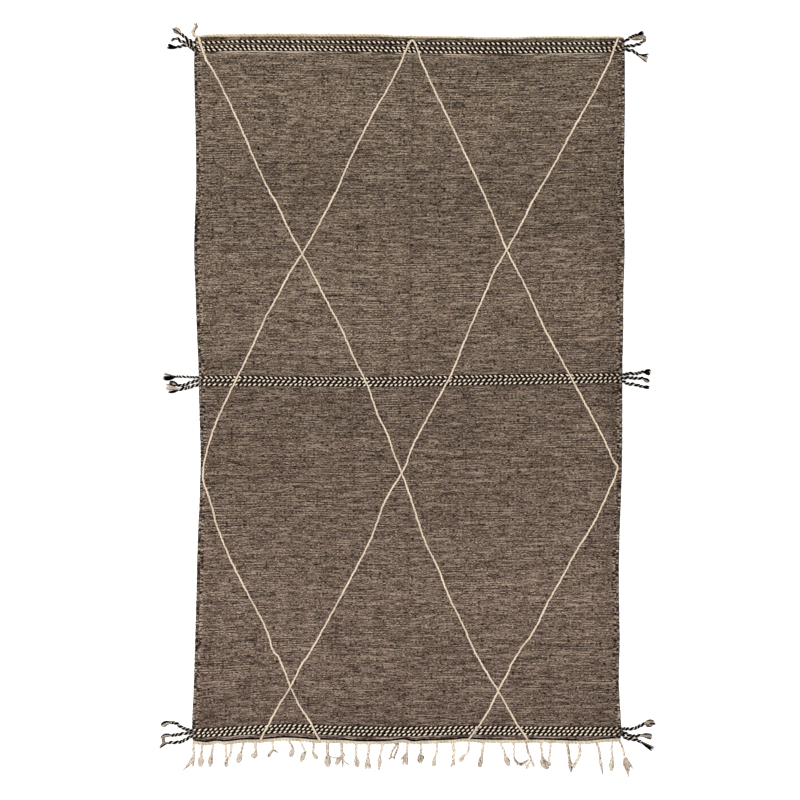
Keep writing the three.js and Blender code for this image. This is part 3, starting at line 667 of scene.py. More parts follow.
selvedgeShape = {  # a weft turned round the outer warps, from the upper face to the lower
    "pitch": 0.0050, "yarnWidth": 0.0056, "yarnHeight": 0.0021, "reach": 0.0120, "endGap": 0.004,
    "bulge": (-0.0020, -0.0002), "slip": 0.0012,
    "inSide": [0.0048, 0.0018, 0.0014, 0.0040, 0.0090],  # from the edge, after the first two
    "heights": [0.0040, 0.0051, 0.0050, 0.0037, 0.0021, 0.0013, 0.0012],
    "darkShare": 0.34, "paleShare": 0.08, "darkOutside": 0.90,
}


def makeSelvedge(name, column, seed):
    shape = selvedgeShape
    skein = Skein(seed)
    chance = skein.random
    inward = 1 if column == 1 else -1
    y = float(clothEnd("bottom", follow(sideEdges, column, -1.41))) + shape["endGap"]
    end = float(clothEnd("top", follow(sideEdges, column, 1.40))) - shape["endGap"]
    while y < end:
        edge = float(follow(sideEdges, column, y))
        reach = shape["reach"] * chance.uniform(0.8, 1.1)
        bulge = chance.uniform(*shape["bulge"])
        inSide = np.array([reach, reach * 0.55, *shape["inSide"]])
        inSide[3:5] += bulge
        slip = chance.uniform(-shape["slip"], shape["slip"])
        drift = np.linspace(0, slip, len(inSide))
        path = np.stack([edge + inward * inSide, y + drift, shape["heights"]], 1)
        roll = chance.random()
        if roll < shape["darkShare"]:
            inner = chance.uniform(0.0, 0.15)
        elif roll < shape["darkShare"] + shape["paleShare"]:
            inner = chance.uniform(0.8, 1.0)
        else:
            inner = chance.uniform(0.35, 0.8)
        dark = chance.random() < shape["darkOutside"]
        outer = chance.uniform(0.0, 0.33) if dark else chance.uniform(0.5, 0.8)
        shade = np.array([inner * 0.8 + 0.1, inner, inner, outer, outer, 0.4, 0.5])
        wide = shape["yarnWidth"] * chance.uniform(0.85, 1.15)
        skein.strand(path, wide, shape["yarnHeight"], shade, sides=6)
        y += shape["pitch"] * chance.uniform(0.85, 1.15)
    return skein.piece(name, edgeWool, "cloth_brown")


selvedges = [makeSelvedge("selvedge_left", 1, 11), makeSelvedge("selvedge_right", 2, 12)]
print("selvedges ready")

tuftShape = {"kind": "bulb", "fibres": 44, "shade": (0.6, 1.0), "startHeight": 0.003,
             "pile": 0.0052, "thick": 0.0017, "rim": 0.5, "raised": 0.0, "dark": 0.0,
             "split": 0, "splitAt": 0.0, "splitShade": (0.0, 0.1)}
tuftProfiles = {  # how wide a tuft is along its length
    "bulb": ([0, 0.2, 0.45, 0.65, 0.85, 1], [0.30, 0.75, 1.0, 1.0, 0.72, 0.35]),
    "fan": ([0, 0.3, 0.6, 0.85, 1], [0.25, 0.45, 0.72, 1.0, 0.95]),
    "point": ([0, 0.25, 0.5, 0.8, 1], [0.45, 1.0, 0.75, 0.30, 0.06]),
    "club": ([0, 0.3, 0.7, 0.9, 1], [0.45, 0.85, 1.0, 0.9, 0.6]),
    "wedge": ([0, 0.3, 0.6, 0.9, 1], [0.30, 0.55, 0.80, 1.0, 0.9]),
}


def tuft(skein, way, width, **changes):  # fibres along a way, changes as in tuftShape
    shape = {**tuftShape, **changes}
    thick = shape["thick"]
    chance = skein.random
    middle = smoothPath(way, 0.0015)
    n = len(middle)
    index = np.arange(n)
    tangent = unit(np.gradient(middle, axis=0))
    across = np.stack([-tangent[:, 1], tangent[:, 0]], 1)
    places, widths = tuftProfiles[shape["kind"]]
    for k in range(shape["fibres"]):
        side = chance.uniform(-1, 1)
        side = math.copysign(abs(side) ** 0.85, side)
        reach = 1 - chance.random() ** 2 * 0.28
        t = np.linspace(0, reach, 8)
        at = t * (n - 1)
        halfWidth = (width - thick) / 2 * np.interp(t, places, widths)
        wobble = chance.uniform(-0.10, 0.10) * np.sin(t * chance.uniform(4, 9) + k)
        offset = halfWidth * np.clip(side + wobble, -1, 1)
        x, y = [np.interp(at, index, middle[:, k]) + np.interp(at, index, across[:, k]) * offset
                for k in (0, 1)]
        level = chance.random()
        dome = shape["pile"] * (1 - side * side * 0.75) * level
        z = thick * 0.45 + dome * np.sin(np.clip(t * 1.1 + 0.12, 0, 1) * math.pi) ** 0.7
        z[0] = shape["startHeight"] + (level - 0.5) * 0.002
        z[-1] = thick * 0.35 + dome * 0.15
        z += shape["raised"] * np.sin(np.clip(t * 1.1, 0, 1) * math.pi * 0.6)
        onSplit = shape["split"] and side * shape["split"] > shape["splitAt"]
        tone = chance.uniform(*shape["splitShade" if onSplit else "shade"])
        if shape["dark"] and chance.random() < shape["dark"]:
            tone *= 0.3
        tone *= 1 - shape["rim"] * min(1.0, max(0.0, (abs(side) - 0.62) / 0.3))
        size = thick * np.interp(t / reach, [0, 0.3, 0.8, 1], [0.9, 1.0, 0.75, 0.25])
        skein.strand(np.stack([x, y, z], 1), size, size * 0.8, tone, sides=4)


def tuftChanges(row):  # what a row of a table says of its tuft
    return {key: row[key] for key in tuftShape if key in row}


twinedShape = {
    "laid": {"pitch": 0.0202, "swing": 0.0023, "lift": 0.0017, "width": 0.0060, "height": 0.0031},
    "loose": {"pitch": 0.0185, "swing": 0.0024, "lift": 0.0016, "width": 0.0063, "height": 0.0036},
    "laidCentre": 0.0052, "looseCentre": 0.0034, "inCloth": (0.0008, 0.9992), "points": 160,
    "step": 0.0022, "leave": 0.006, "leaveDrop": -0.0002, "ramp": 0.016, "fuller": 1.18,
    "shadow": 0.62, "blackWider": 0.75,
    "rising": {("middle", 2), ("middle", 3), ("bottom", 1), ("bottom", 2), ("bottom", 3)},
    "black": 0.0, "cream": 0.97, "ink": 0.22, "tieShade": 0.20,
    "edgeShade": 0.42, "edgeAt": 0.004, "edgeReach": 0.009,
    "rightShade": 0.16, "rightFrom": 0.74, "rightReach": 0.08,
}
looseEnds = {  # route out from the edge, tip of the tuft and its look, further tufts
    ("top", 1, "left"): {
        "route": [(-0.873, 1.393), (-0.888, 1.401), (-0.901, 1.412), (-0.914, 1.423)],
        "tip": [(-0.927, 1.432), (-0.944, 1.443)], "width": 0.022, "shade": (0.6, 1.0),
        "more": [{"route": [(-0.914, 1.422), (-0.932, 1.433), (-0.953, 1.447)], "width": 0.0062,
                  "kind": "club", "shade": (0.0, 0.06), "raised": 0.0062}]},
    ("top", 1, "right"): {
        "route": [(0.878, 1.402), (0.898, 1.413), (0.916, 1.418)], "tip": [(0.93, 1.424),
        (0.94, 1.428)], "width": 0.015, "kind": "club", "shade": (0.0, 0.1),
        "more": [{"route": [(0.89, 1.401), (0.91, 1.405), (0.932, 1.409), (0.951, 1.405)],
                  "width": 0.023, "shade": (0.42, 0.95)}]},
    ("top", 2, "left"): {
        "route": [(-0.872, 1.38), (-0.888, 1.388), (-0.91, 1.39), (-0.922, 1.4), (-0.934, 1.403)],
        "tip": [(-0.944, 1.4), (-0.951, 1.391)], "width": 0.01, "thin": 0.95,
        "shade": (0.0, 0.55)},
    ("top", 2, "right"): {
        "route": [(0.878, 1.373), (0.9, 1.375), (0.92, 1.38), (0.933, 1.387)],
        "tip": [(0.942, 1.394), (0.949, 1.403)], "width": 0.011, "shade": (0.2, 0.75)},
    ("top", 3, "left"): {
        "route": [(-0.872, 1.366), (-0.886, 1.376), (-0.907, 1.373), (-0.927, 1.368)],
        "tip": [(-0.946, 1.368), (-0.967, 1.374)], "width": 0.021, "kind": "wedge",
        "shade": (0.0, 0.08), "split": -1, "splitAt": 0.75, "splitShade": (0.1, 0.45)},
    ("top", 3, "right"): {
        "route": [(0.878, 1.356), (0.89, 1.355), (0.904, 1.348), (0.919, 1.337)],
        "tip": [(0.936, 1.33), (0.958, 1.324)], "width": 0.034, "kind": "fan",
        "shade": (0.0, 0.12), "split": -1, "splitAt": 0.15, "splitShade": (0.6, 1.0)},
    ("middle", 1, "left"): {
        "route": [(-0.89, 0.049), (-0.934, 0.05)], "tip": [(-0.962, 0.043), (-0.986, 0.044)],
        "width": 0.017, "thin": 0.8, "kind": "club", "shade": (0.0, 0.06),
        "more": [{"route": [(-0.938, 0.052), (-0.96, 0.057), (-0.984, 0.061)], "width": 0.011,
                  "kind": "fan", "shade": (0.45, 0.9)}]},
    ("middle", 1, "right"): {
        "route": [(0.884, 0.063), (0.906, 0.061), (0.924, 0.066), (0.943, 0.07)],
        "tip": [(0.968, 0.066)], "width": 0.024, "kind": "club", "shade": (0.0, 0.05)},
    ("middle", 2, "left"): {
        "route": [(-0.87, 0.028), (-0.895, 0.018), (-0.91, 0.014), (-0.925, 0.016)],
        "tip": [(-0.961, 0.028)], "width": 0.019, "shade": (0.0, 0.12),
        "more": [{"route": [(-0.932, 0.017), (-0.948, 0.025)], "width": 0.008, "kind": "club",
                  "shade": (0.45, 0.9), "raised": 0.0062}]},
    ("middle", 2, "right"): {
        "route": [(0.882, 0.046), (0.903, 0.043), (0.923, 0.044), (0.936, 0.042)],
        "tip": [(0.964, 0.029)], "width": 0.016, "shade": (0.0, 0.1), "split": -1, "splitAt": 0.3,
        "splitShade": (0.5, 0.9)},
    ("middle", 3, "left"): {
        "route": [(-0.865, 0.011), (-0.893, 0.003), (-0.922, -0.002)], "tip": [(-0.95, 0.006),
        (-0.975, 0.01)], "width": 0.024, "kind": "fan", "shade": (0.6, 1.0),
        "more": [{"route": [(-0.924, -0.004), (-0.944, -0.011), (-0.965, -0.011)], "width": 0.013,
                  "kind": "club", "shade": (0.0, 0.05)}]},
    ("middle", 3, "right"): {
        "route": [(0.88, 0.02), (0.897, 0.02), (0.916, 0.015), (0.936, 0.009)],
        "tip": [(0.963, 0.006)], "width": 0.014, "kind": "club", "shade": (0.0, 0.06)},
    ("bottom", 1, "left"): {
        "route": [(-0.888, -1.362), (-0.914, -1.351), (-0.93, -1.338), (-0.944, -1.335),
        (-0.957, -1.335)], "tip": [(-0.974, -1.338), (-0.991, -1.35)], "width": 0.019,
        "kind": "club", "shade": (0.5, 0.95), "split": -1, "splitAt": 0.1,
        "splitShade": (0.0, 0.12)},
    ("bottom", 1, "right"): {
        "route": [(0.883, -1.36), (0.904, -1.357), (0.925, -1.347), (0.943, -1.339)],
        "tip": [(0.984, -1.334)], "width": 0.025, "shade": (0.35, 0.85),
        "more": [{"route": [(0.964, -1.336), (0.987, -1.34)], "width": 0.011, "kind": "fan",
                  "shade": (0.0, 0.06), "raised": 0.0062},
                 {"route": [(0.949, -1.35), (0.972, -1.349)], "width": 0.006, "kind": "club",
                  "shade": (0.0, 0.1), "raised": 0.0062}]},
    ("bottom", 2, "left"): {
        "route": [(-0.892, -1.377), (-0.922, -1.382), (-0.95, -1.386)], "tip": [(-0.975, -1.386),
        (-0.995, -1.397)], "width": 0.014, "shade": (0.45, 0.95), "split": -1, "splitAt": 0.1},
    ("bottom", 2, "right"): {
        "route": [(0.871, -1.38), (0.89, -1.388), (0.909, -1.388), (0.932, -1.385)],
        "tip": [(0.952, -1.387), (0.974, -1.391)], "width": 0.019, "kind": "club",
        "shade": (0.45, 0.95), "split": 1, "splitAt": 0.25,
        "more": [{"route": [(0.948, -1.395), (0.971, -1.4)], "width": 0.006, "kind": "club",
                  "shade": (0.0, 0.08), "raised": 0.0058}]},
    ("bottom", 3, "left"): {
        "route": [(-0.888, -1.399), (-0.912, -1.411), (-0.938, -1.414), (-0.964, -1.414)],
        "tip": [(-0.983, -1.422), (-0.999, -1.437)], "width": 0.012, "shade": (0.3, 0.9),
        "split": 1,
        "more": [{"route": [(-0.974, -1.42), (-0.983, -1.409), (-0.981, -1.392)], "width": 0.014,
                  "shade": (0.3, 0.8)}]},
    ("bottom", 3, "right"): {
        "route": [(0.869, -1.397), (0.89, -1.401), (0.91, -1.404), (0.93, -1.413)],
        "tip": [(0.952, -1.427), (0.978, -1.443)], "width": 0.02, "kind": "wedge",
        "shade": (0.0, 0.1), "split": 1, "splitAt": 0.4, "splitShade": (0.3, 0.75)},
}


def tieWay(end, first, outward):  # from the edge of the cloth out to the tuft
    shape = twinedShape
    low = shape["looseCentre"] * (0.5 + 0.5 * end.get("thin", 1.0))
    start = [first, first + (outward * shape["leave"], 0, shape["leaveDrop"])]
    return smoothPath([*start, *((x, y, low) for x, y in end["route"])], shape["step"])


def makeTwinedCord(band, cord):
    shape = twinedShape
    skein = Skein(100 + cord + 10 * len(band))
    shares = np.linspace(*shape["inCloth"], shape["points"])
    x, y = acrossAt(shares, lambda x: follow(bandRows[band], cord, x))
    laid = np.stack([x, y, np.full(len(x), shape["laidCentre"])], 1)
    ends = [looseEnds[band, cord, side] for side in ("left", "right")]
    left, right = ends
    path = evenPath(np.vstack([tieWay(left, laid[0], -1)[::-1], laid[1:-1],
                               tieWay(right, laid[-1], 1)]), shape["step"])
    across = path[:, 0]
    out = np.maximum(x[0] - across, across - x[-1])
    loose = ease(np.clip(out / shape["ramp"], 0, 1))
    thin = np.where(across < 0, left.get("thin", 1.0), right.get("thin", 1.0))
    thin = 1 + (thin - 1) * loose
    yarn = {measure: (tight * (1 - loose) + shape["loose"][measure] * loose) * thin
            for measure, tight in shape["laid"].items()}
    # The black goes brown in places, the cream darker on the ties, at the edge and far right.
    inky = np.sin(across * 43 + 4 * np.sin(across * 17 + cord) + cord)
    inky = shape["ink"] * np.clip(inky - 0.35, 0, 1)
    shade = shape["tieShade"]
    pale = shape["cream"] - loose * (shade + shade * np.sin(out * 410 + cord)) - inky * 0.5
    pale = pale - shape["edgeShade"] * np.exp(-((out - shape["edgeAt"]) / shape["edgeReach"]) ** 2)
    rightward = np.clip((across - shape["rightFrom"]) / shape["rightReach"], 0, 1)
    pale = np.clip(pale - shape["rightShade"] * rightward, 0, 1)
    uneven = 1 + 0.10 * np.sin(across * 31 + cord * 2) + 0.07 * np.sin(across * 83 + cord)
    uneven += 0.32 * loose * np.sin(out * 115 + cord * 2.3 + np.sign(across) + len(band))
    skein.twist(path, altered(yarn, pitch=uneven), (shape["black"] + inky, pale),
                hand=-1 if (band, cord) in shape["rising"] else 1, phase=cord * 1.7,
                shadow=shape["shadow"], firstWider=shape["blackWider"] * loose)
    for end in ends:
        width = end["width"] * shape["fuller"]
        tuft(skein, [end["route"][-1], *end["tip"]], width, fibres=int(14 + width * 1900),
             startHeight=shape["looseCentre"], rim=0.75, **tuftChanges(end))
        for more in end.get("more", []):
            tuft(skein, more["route"], more["width"], fibres=int(10 + more["width"] * 1700),
                 rim=0.6, **tuftChanges(more))
    name = cordNames[cord]
    made = skein.piece(f"twined_yarn_{band}_{name}", twinedWool, "twined_black_cream")
    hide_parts(f"twined_cord_{band}_{name}")
    return made


twinedCords = [makeTwinedCord(band, cord) for band in bandRows for cord in cordNames]
print("twined cords ready,", len(twinedCords))

latticeShape = {
    "pitch": 0.034, "swing": 0.0018, "lift": 0.00045, "width": 0.0050, "height": 0.0022,
    "onCloth": 0.0069, "onCords": 0.0104, "cordReach": 0.0052, "crossReach": 0.014,
    "level": 0.005, "ramp": 0.016, "step": 0.0032, "overhang": 0.004,
    "thickCorner": (-0.835, 1.370), "cornerFuller": 0.34, "cornerReach": 0.085,
}
latticeRoutes = {  # the zigzag lies lowest where lines cross
    "zigzag": [
        (-0.36, -1.401), (-0.397, -1.328), (-0.435, -1.272), (-0.474, -1.191), (-0.499, -1.125),
        (-0.522, -1.073), (-0.545, -1.042), (-0.574, -0.954), (-0.644, -0.82), (-0.688, -0.735),
        (-0.722, -0.664), (-0.77, -0.542), (-0.788, -0.47), (-0.818, -0.382), (-0.824, -0.34),
        (-0.813, -0.267), (-0.778, -0.152), (-0.729, -0.04), (-0.652, 0.116), (-0.594, 0.24),
        (-0.569, 0.296), (-0.536, 0.352), (-0.477, 0.464), (-0.427, 0.541), (-0.374, 0.632),
        (-0.286, 0.8), (-0.24, 0.908), (-0.142, 1.104), (-0.09, 1.192), (-0.036, 1.296),
        (0.012, 1.394), (0.05, 1.31), (0.101, 1.196), (0.156, 1.084), (0.306, 0.764),
        (0.391, 0.556), (0.465, 0.412), (0.541, 0.244), (0.606, 0.124), (0.761, -0.164),
        (0.799, -0.244), (0.816, -0.284), (0.834, -0.313), (0.826, -0.345), (0.816, -0.37),
        (0.742, -0.53), (0.665, -0.656), (0.616, -0.748), (0.556, -0.853), (0.516, -0.937),
        (0.484, -0.992), (0.45, -1.036), (0.408, -1.105), (0.396, -1.134), (0.357, -1.207),
        (0.328, -1.268), (0.295, -1.324), (0.24, -1.399),
    ],
    "falling": [
        (-0.84, 1.399), (-0.814, 1.324), (-0.8, 1.3), (-0.767, 1.244), (-0.712, 1.132),
        (-0.661, 1.02), (-0.614, 0.908), (-0.561, 0.796), (-0.528, 0.74), (-0.476, 0.628),
        (-0.427, 0.541), (-0.384, 0.46), (-0.327, 0.348), (-0.268, 0.236), (-0.22, 0.124),
        (-0.165, 0.012), (-0.126, -0.1), (-0.084, -0.186), (-0.066, -0.244), (-0.029, -0.336),
        (0.007, -0.436), (0.062, -0.604), (0.116, -0.716), (0.159, -0.828), (0.214, -0.94),
        (0.264, -1.052), (0.329, -1.164), (0.357, -1.207), (0.427, -1.332), (0.474, -1.4),
    ],
    "rising": [
        (-0.592, -1.397), (-0.552, -1.324), (-0.522, -1.268), (-0.474, -1.191), (-0.428, -1.1),
        (-0.39, -1.044), (-0.297, -0.876), (-0.207, -0.708), (-0.151, -0.596), (-0.11, -0.484),
        (-0.085, -0.428), (-0.029, -0.336), (-0.009, -0.295), (0.018, -0.222), (0.096, -0.076),
        (0.138, 0.0), (0.177, 0.076), (0.221, 0.188), (0.268, 0.3), (0.317, 0.412), (0.34, 0.468),
        (0.391, 0.556), (0.452, 0.664), (0.493, 0.748), (0.54, 0.827), (0.587, 0.909),
        (0.641, 1.01), (0.697, 1.11), (0.754, 1.211), (0.766, 1.239), (0.798, 1.299),
        (0.814, 1.343), (0.834, 1.397),
    ],
}


def pastEnd(end, inner, distance):
    away = np.subtract(end, inner)
    return end + away / np.linalg.norm(away) * distance


def makeLatticeLine(name, lowerNames):
    shape = latticeShape
    route = latticeRoutes[name]
    path = smoothPath([pastEnd(route[0], route[1], shape["overhang"]), *route,
                       pastEnd(route[-1], route[-2], shape["overhang"])], shape["step"])
    # The line steps up over the cords and the lower lines.
    near = [np.abs(path[:, 1] - follow(bandRows[band], cord, path[:, 0])) - shape["cordReach"]
            for band in bandRows for cord in cordNames]
    near += [np.linalg.norm(path - point, axis=1) - shape["crossReach"]
             for lower in lowerNames for point in latticeRoutes[lower] if point in route]
    away = np.min(near, axis=0) - shape["level"]
    lift = ease(np.clip(1 - away / shape["ramp"], 0, 1))
    z = shape["onCloth"] + (shape["onCords"] - shape["onCloth"]) * lift
    skein = Skein(300 + len(name))
    along = pathLength(path)
    # Hand-spun: uneven in tone, thickness and course.
    worn = 0.90 + 0.10 * np.sin(along * 23) * np.sin(along * 7.3)
    lump = (1 + 0.10 * np.sin(along * 67 + 3 * np.sin(along * 5)) + 0.09 * np.sin(along * 149)
            + 0.08 * np.sin(along * 19))
    corner = np.linalg.norm(path - shape["thickCorner"], axis=1)
    lump += shape["cornerFuller"] * np.exp(-(corner / shape["cornerReach"]) ** 4)
    path[:, 0] += 0.0007 * np.sin(along * 88 + 2 * np.sin(along * 9)) + 0.0005 * np.sin(along * 171)
    skein.twist(np.column_stack([path, z]), altered(shape, width=lump), (worn, worn * 0.94),
                phase=0.4, sides=6)
    made = skein.piece(f"lattice_yarn_{name}", creamWool, "lattice_cream")
    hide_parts(f"lattice_line_{name}")
    return made


latticeYarns = [makeLatticeLine("zigzag", ()), makeLatticeLine("falling", ("zigzag",)),
                makeLatticeLine("rising", ("zigzag", "falling"))]
print("lattice lines ready")

headingShape = {
    "top": {"pitch": 0.031, "swing": 0.0019, "lift": 0.0012, "width": 0.0056, "height": 0.0042,
            "centre": 0.0034, "ends": (-0.846, 0.858)},
    "bottom": {"pitch": 0.027, "swing": 0.0028, "lift": 0.0013, "width": 0.0068,
               "height": 0.0044, "centre": 0.0036, "ends": (-0.866, 0.846)},
    "step": 0.0026, "points": 240,
}
tailShape = {  # the frayed end at the top left corner
    "way": [(-0.852, 1.411), (-0.861, 1.418), (-0.864, 1.431), (-0.857, 1.444)],
    "tip": [(-0.853, 1.454), (-0.857, 1.467)], "lobe": [(-0.849, 1.451), (-0.843, 1.453)],
    "rise": [1.411, 1.418], "fuller": 0.85, "shade": 0.12,
    "fleck": [(-0.8600, 1.427, 0.0078), (-0.8550, 1.437, 0.0080), (-0.8470, 1.447, 0.0076)],
}


def headingPath(which, line):
    shape = headingShape[which]
    x = np.linspace(*shape["ends"], headingShape["points"])
    wobble = 0.0005 * np.sin(x * 130) + 0.0004 * np.sin(x * 57 + 1)
    return np.stack([x, follow(line, 1, x) + wobble, np.full(len(x), shape["centre"])], 1)


def makeTopHeading():
    shape, tail = headingShape["top"], tailShape
    skein = Skein(401)
    laid = headingPath("top", topHeadingLine)
    rise = smoothPath([(x, y, shape["centre"]) for x, y in tail["way"]], headingShape["step"])
    path = evenPath(np.vstack([rise[::-1], laid[1:]]), headingShape["step"])
    along = pathLength(path)
    tone = 0.86 + 0.12 * np.sin(along * 31 + 3 * np.sin(along * 9))
    tailShare = np.interp(path[:, 1], tail["rise"], [0, 1])
    tone = tone * (1 - tail["shade"] * tailShare)
    fuller = 1 + tail["fuller"] * tailShare
    skein.twist(path, altered(shape, swing=fuller, width=fuller), (tone, tone * 0.93), sides=8)
    tuft(skein, [tail["way"][-1], *tail["tip"]], 0.016, kind="wedge", fibres=38,
         shade=(0.5, 0.95), split=-1, splitAt=0.5, splitShade=(0.0, 0.3))
    tuft(skein, [tail["way"][-1], *tail["lobe"]], 0.012, kind="club", fibres=20,
         shade=(0.3, 0.8))
    skein.strand(smoothPath(tail["fleck"], 0.003), 0.0040, 0.0016, 0.02)
    made = skein.piece("heading_yarn_top", headingWool, "heading_cream")
    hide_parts("top_heading")
    return made


def makeBottomHeading():
    shape = headingShape["bottom"]
    skein = Skein(402)
    path = evenPath(headingPath("bottom", bottomHeadingLine), headingShape["step"])
    along = pathLength(path)
    tone = 0.82 + 0.16 * np.sin(along * 47 + 3 * np.sin(along * 13))
    lump = 0.92 + 0.14 * np.sin(along * 71 + 4 * np.sin(along * 11)) + 0.12 * np.sin(along * 163)
    skein.twist(path, altered(shape, width=lump), (tone, tone * 0.85), sides=8)
    return skein.piece("heading_yarn_bottom", headingWool, "heading_cream")


topHeading, bottomHeading = makeTopHeading(), makeBottomHeading()

fringeShape = {
    "pitch": 0.040, "swing": 0.0017, "lift": 0.0008, "width": 0.0070, "height": 0.0034,
    "centre": 0.0030, "step": 0.0022, "rootGap": 0.003, "shade": (0.62, 1.0),
    "fibreThick": 0.0018, "darkFibres": 0.06, "lobeWidth": 0.010, "lobeFibres": 16,
    "strayHeight": 0.0092, "strayEnd": 0.005,
}
knotShape = {"turns": 1.6, "points": 20, "length": 1.5, "radius": 0.0033, "centre": 0.0036,
             "lift": 0.0018, "width": 0.0034, "height": 0.0032}
fringe = [  # where a warp cord leaves the heading, its way to the knot, the tuft beyond it
    {"root": -0.862, "way": [(-0.861, -1.464)], "tip": [(-0.872, -1.49), (-0.909, -1.531)],
     "width": 0.018, "kind": "point", "lobe": [(-0.862, -1.488), (-0.866, -1.513)]},
    {"root": -0.826, "way": [(-0.831, -1.466)], "tip": [(-0.836, -1.513)], "width": 0.025},
    {"root": -0.784, "way": [(-0.79, -1.46)], "tip": [(-0.797, -1.513)], "width": 0.021},
    {"root": -0.734, "way": [(-0.73, -1.481)], "tip": [(-0.732, -1.514)], "width": 0.018,
     "spot": (-0.728, -1.483)},
    {"root": -0.709, "way": [(-0.722, -1.483)]},
    {"root": -0.662, "way": [(-0.672, -1.453)], "tip": [(-0.685, -1.497)], "width": 0.024},
    {"root": -0.614, "way": [(-0.613, -1.448)], "tip": [(-0.616, -1.47), (-0.634, -1.46)],
     "width": 0.021, "thick": 1.2},
    {"root": -0.546, "way": [(-0.544, -1.444)], "tip": [(-0.551, -1.45), (-0.558, -1.46),
     (-0.563, -1.474)], "width": 0.015, "kind": "club", "lobe": [(-0.534, -1.449),
     (-0.523, -1.455)], "shade": (0.4, 1.0)},
    {"root": -0.484, "way": [(-0.464, -1.437)], "tip": [(-0.474, -1.475)], "width": 0.022},
    {"root": -0.436, "way": [(-0.414, -1.452)], "tip": [(-0.424, -1.47), (-0.434, -1.496)],
     "width": 0.019, "lobe": [(-0.426, -1.458), (-0.437, -1.464)], "spot": (-0.415, -1.454)},
    {"root": -0.383, "way": [(-0.385, -1.455)], "tip": [(-0.365, -1.484)], "width": 0.018},
    {"root": -0.326, "way": [(-0.326, -1.462)], "tip": [(-0.325, -1.514)], "width": 0.028,
     "thick": 1.15, "spot": (-0.33, -1.474)},
    {"root": -0.27, "way": [(-0.267, -1.464)], "tip": [(-0.281, -1.484), (-0.294, -1.506)],
     "width": 0.019, "kind": "club", "lobe": [(-0.266, -1.486), (-0.266, -1.514)], "thick": 1.2},
    {"root": -0.21, "way": [(-0.212, -1.47)], "tip": [(-0.205, -1.515)], "width": 0.022,
     "thick": 1.1},
    {"root": -0.16, "way": [(-0.165, -1.474)], "tip": [(-0.165, -1.524)], "width": 0.031,
     "kind": "wedge", "thick": 1.15},
    {"root": -0.104, "way": [(-0.112, -1.452), (-0.117, -1.472)], "tip": [(-0.121, -1.534)],
     "width": 0.02, "kind": "point"},
    {"root": -0.049, "way": [(-0.056, -1.432), (-0.071, -1.456), (-0.071, -1.472)],
     "tip": [(-0.076, -1.478), (-0.083, -1.482)], "width": 0.008, "shade": (0.1, 0.6),
     "thick": 0.85, "tone": 0.45},
    {"root": -0.043, "way": [(-0.044, -1.434), (-0.06, -1.474)], "tip": [(-0.056, -1.483)],
     "width": 0.008, "shade": (0.1, 0.5), "thick": 0.75, "tone": 0.38},
    {"root": -0.004, "way": [(-0.008, -1.453)], "tip": [(-0.018, -1.506)], "width": 0.026,
     "kind": "wedge", "lobe": [(-0.024, -1.474), (-0.036, -1.485)], "shade": (0.3, 0.9)},
    {"root": 0.047, "way": [(0.047, -1.46)], "tip": [(0.044, -1.498)], "width": 0.026,
     "shade": (0.3, 0.95), "spot": (0.058, -1.47)},
    {"root": 0.113, "way": [(0.11, -1.455), (0.102, -1.476)], "tip": [(0.097, -1.511)],
     "width": 0.02, "kind": "club"},
    {"root": 0.174, "way": [(0.18, -1.442), (0.177, -1.489)], "tip": [(0.167, -1.514)],
     "width": 0.01, "lobe": [(0.184, -1.51)], "thick": 1.35},
    {"root": 0.239, "way": [(0.235, -1.452), (0.22, -1.466)], "tip": [(0.202, -1.492)],
     "width": 0.019},
    {"root": 0.299, "way": [(0.291, -1.466)], "tip": [(0.281, -1.515)], "width": 0.021,
     "kind": "club", "shade": (0.35, 0.85), "thick": 1.1},
    {"root": 0.362, "way": [(0.383, -1.462)], "tip": [(0.4, -1.509)], "width": 0.022, "thick": 1.1,
     "spot": (0.398, -1.482)},
    {"root": 0.418, "way": [(0.42, -1.472)], "tip": [(0.426, -1.488), (0.442, -1.502),
     (0.46, -1.496), (0.48, -1.482)], "width": 0.014, "shade": (0.2, 0.85), "spot": (0.447, -1.5)},
    {"root": 0.468, "way": [(0.489, -1.482)], "tip": [(0.502, -1.515)], "width": 0.011,
     "lobe": [(0.478, -1.5), (0.473, -1.523)], "tone": 0.5},
    {"root": 0.528, "way": [(0.534, -1.474)], "tip": [(0.54, -1.496), (0.557, -1.521)],
     "width": 0.03, "shade": (0.3, 0.95), "spot": (0.541, -1.487)},
    {"root": 0.568, "way": [(0.562, -1.478), (0.559, -1.494)], "tip": [(0.566, -1.508)],
     "width": 0.015},
    {"root": 0.631, "way": [(0.641, -1.482)], "tip": [(0.65, -1.535)], "width": 0.017,
     "shade": (0.25, 0.9), "thick": 1.2, "tone": 0.52, "spot": (0.65, -1.514)},
    {"root": 0.681, "way": [(0.682, -1.462), (0.656, -1.516)], "thick": 1.3},
    {"root": 0.751, "way": [(0.765, -1.476)], "tip": [(0.77, -1.515), (0.776, -1.546)],
     "width": 0.016, "kind": "point", "tone": 0.52},
    {"root": 0.812, "way": [(0.813, -1.476)], "tip": [(0.81, -1.53)], "width": 0.022},
    {"root": 0.84, "way": [(0.852, -1.428), (0.864, -1.477)], "tip": [(0.872, -1.51),
     (0.879, -1.554)], "width": 0.03, "kind": "point", "lobe": [(0.88, -1.496), (0.896, -1.52)],
     "shade": (0.35, 0.95)},
]
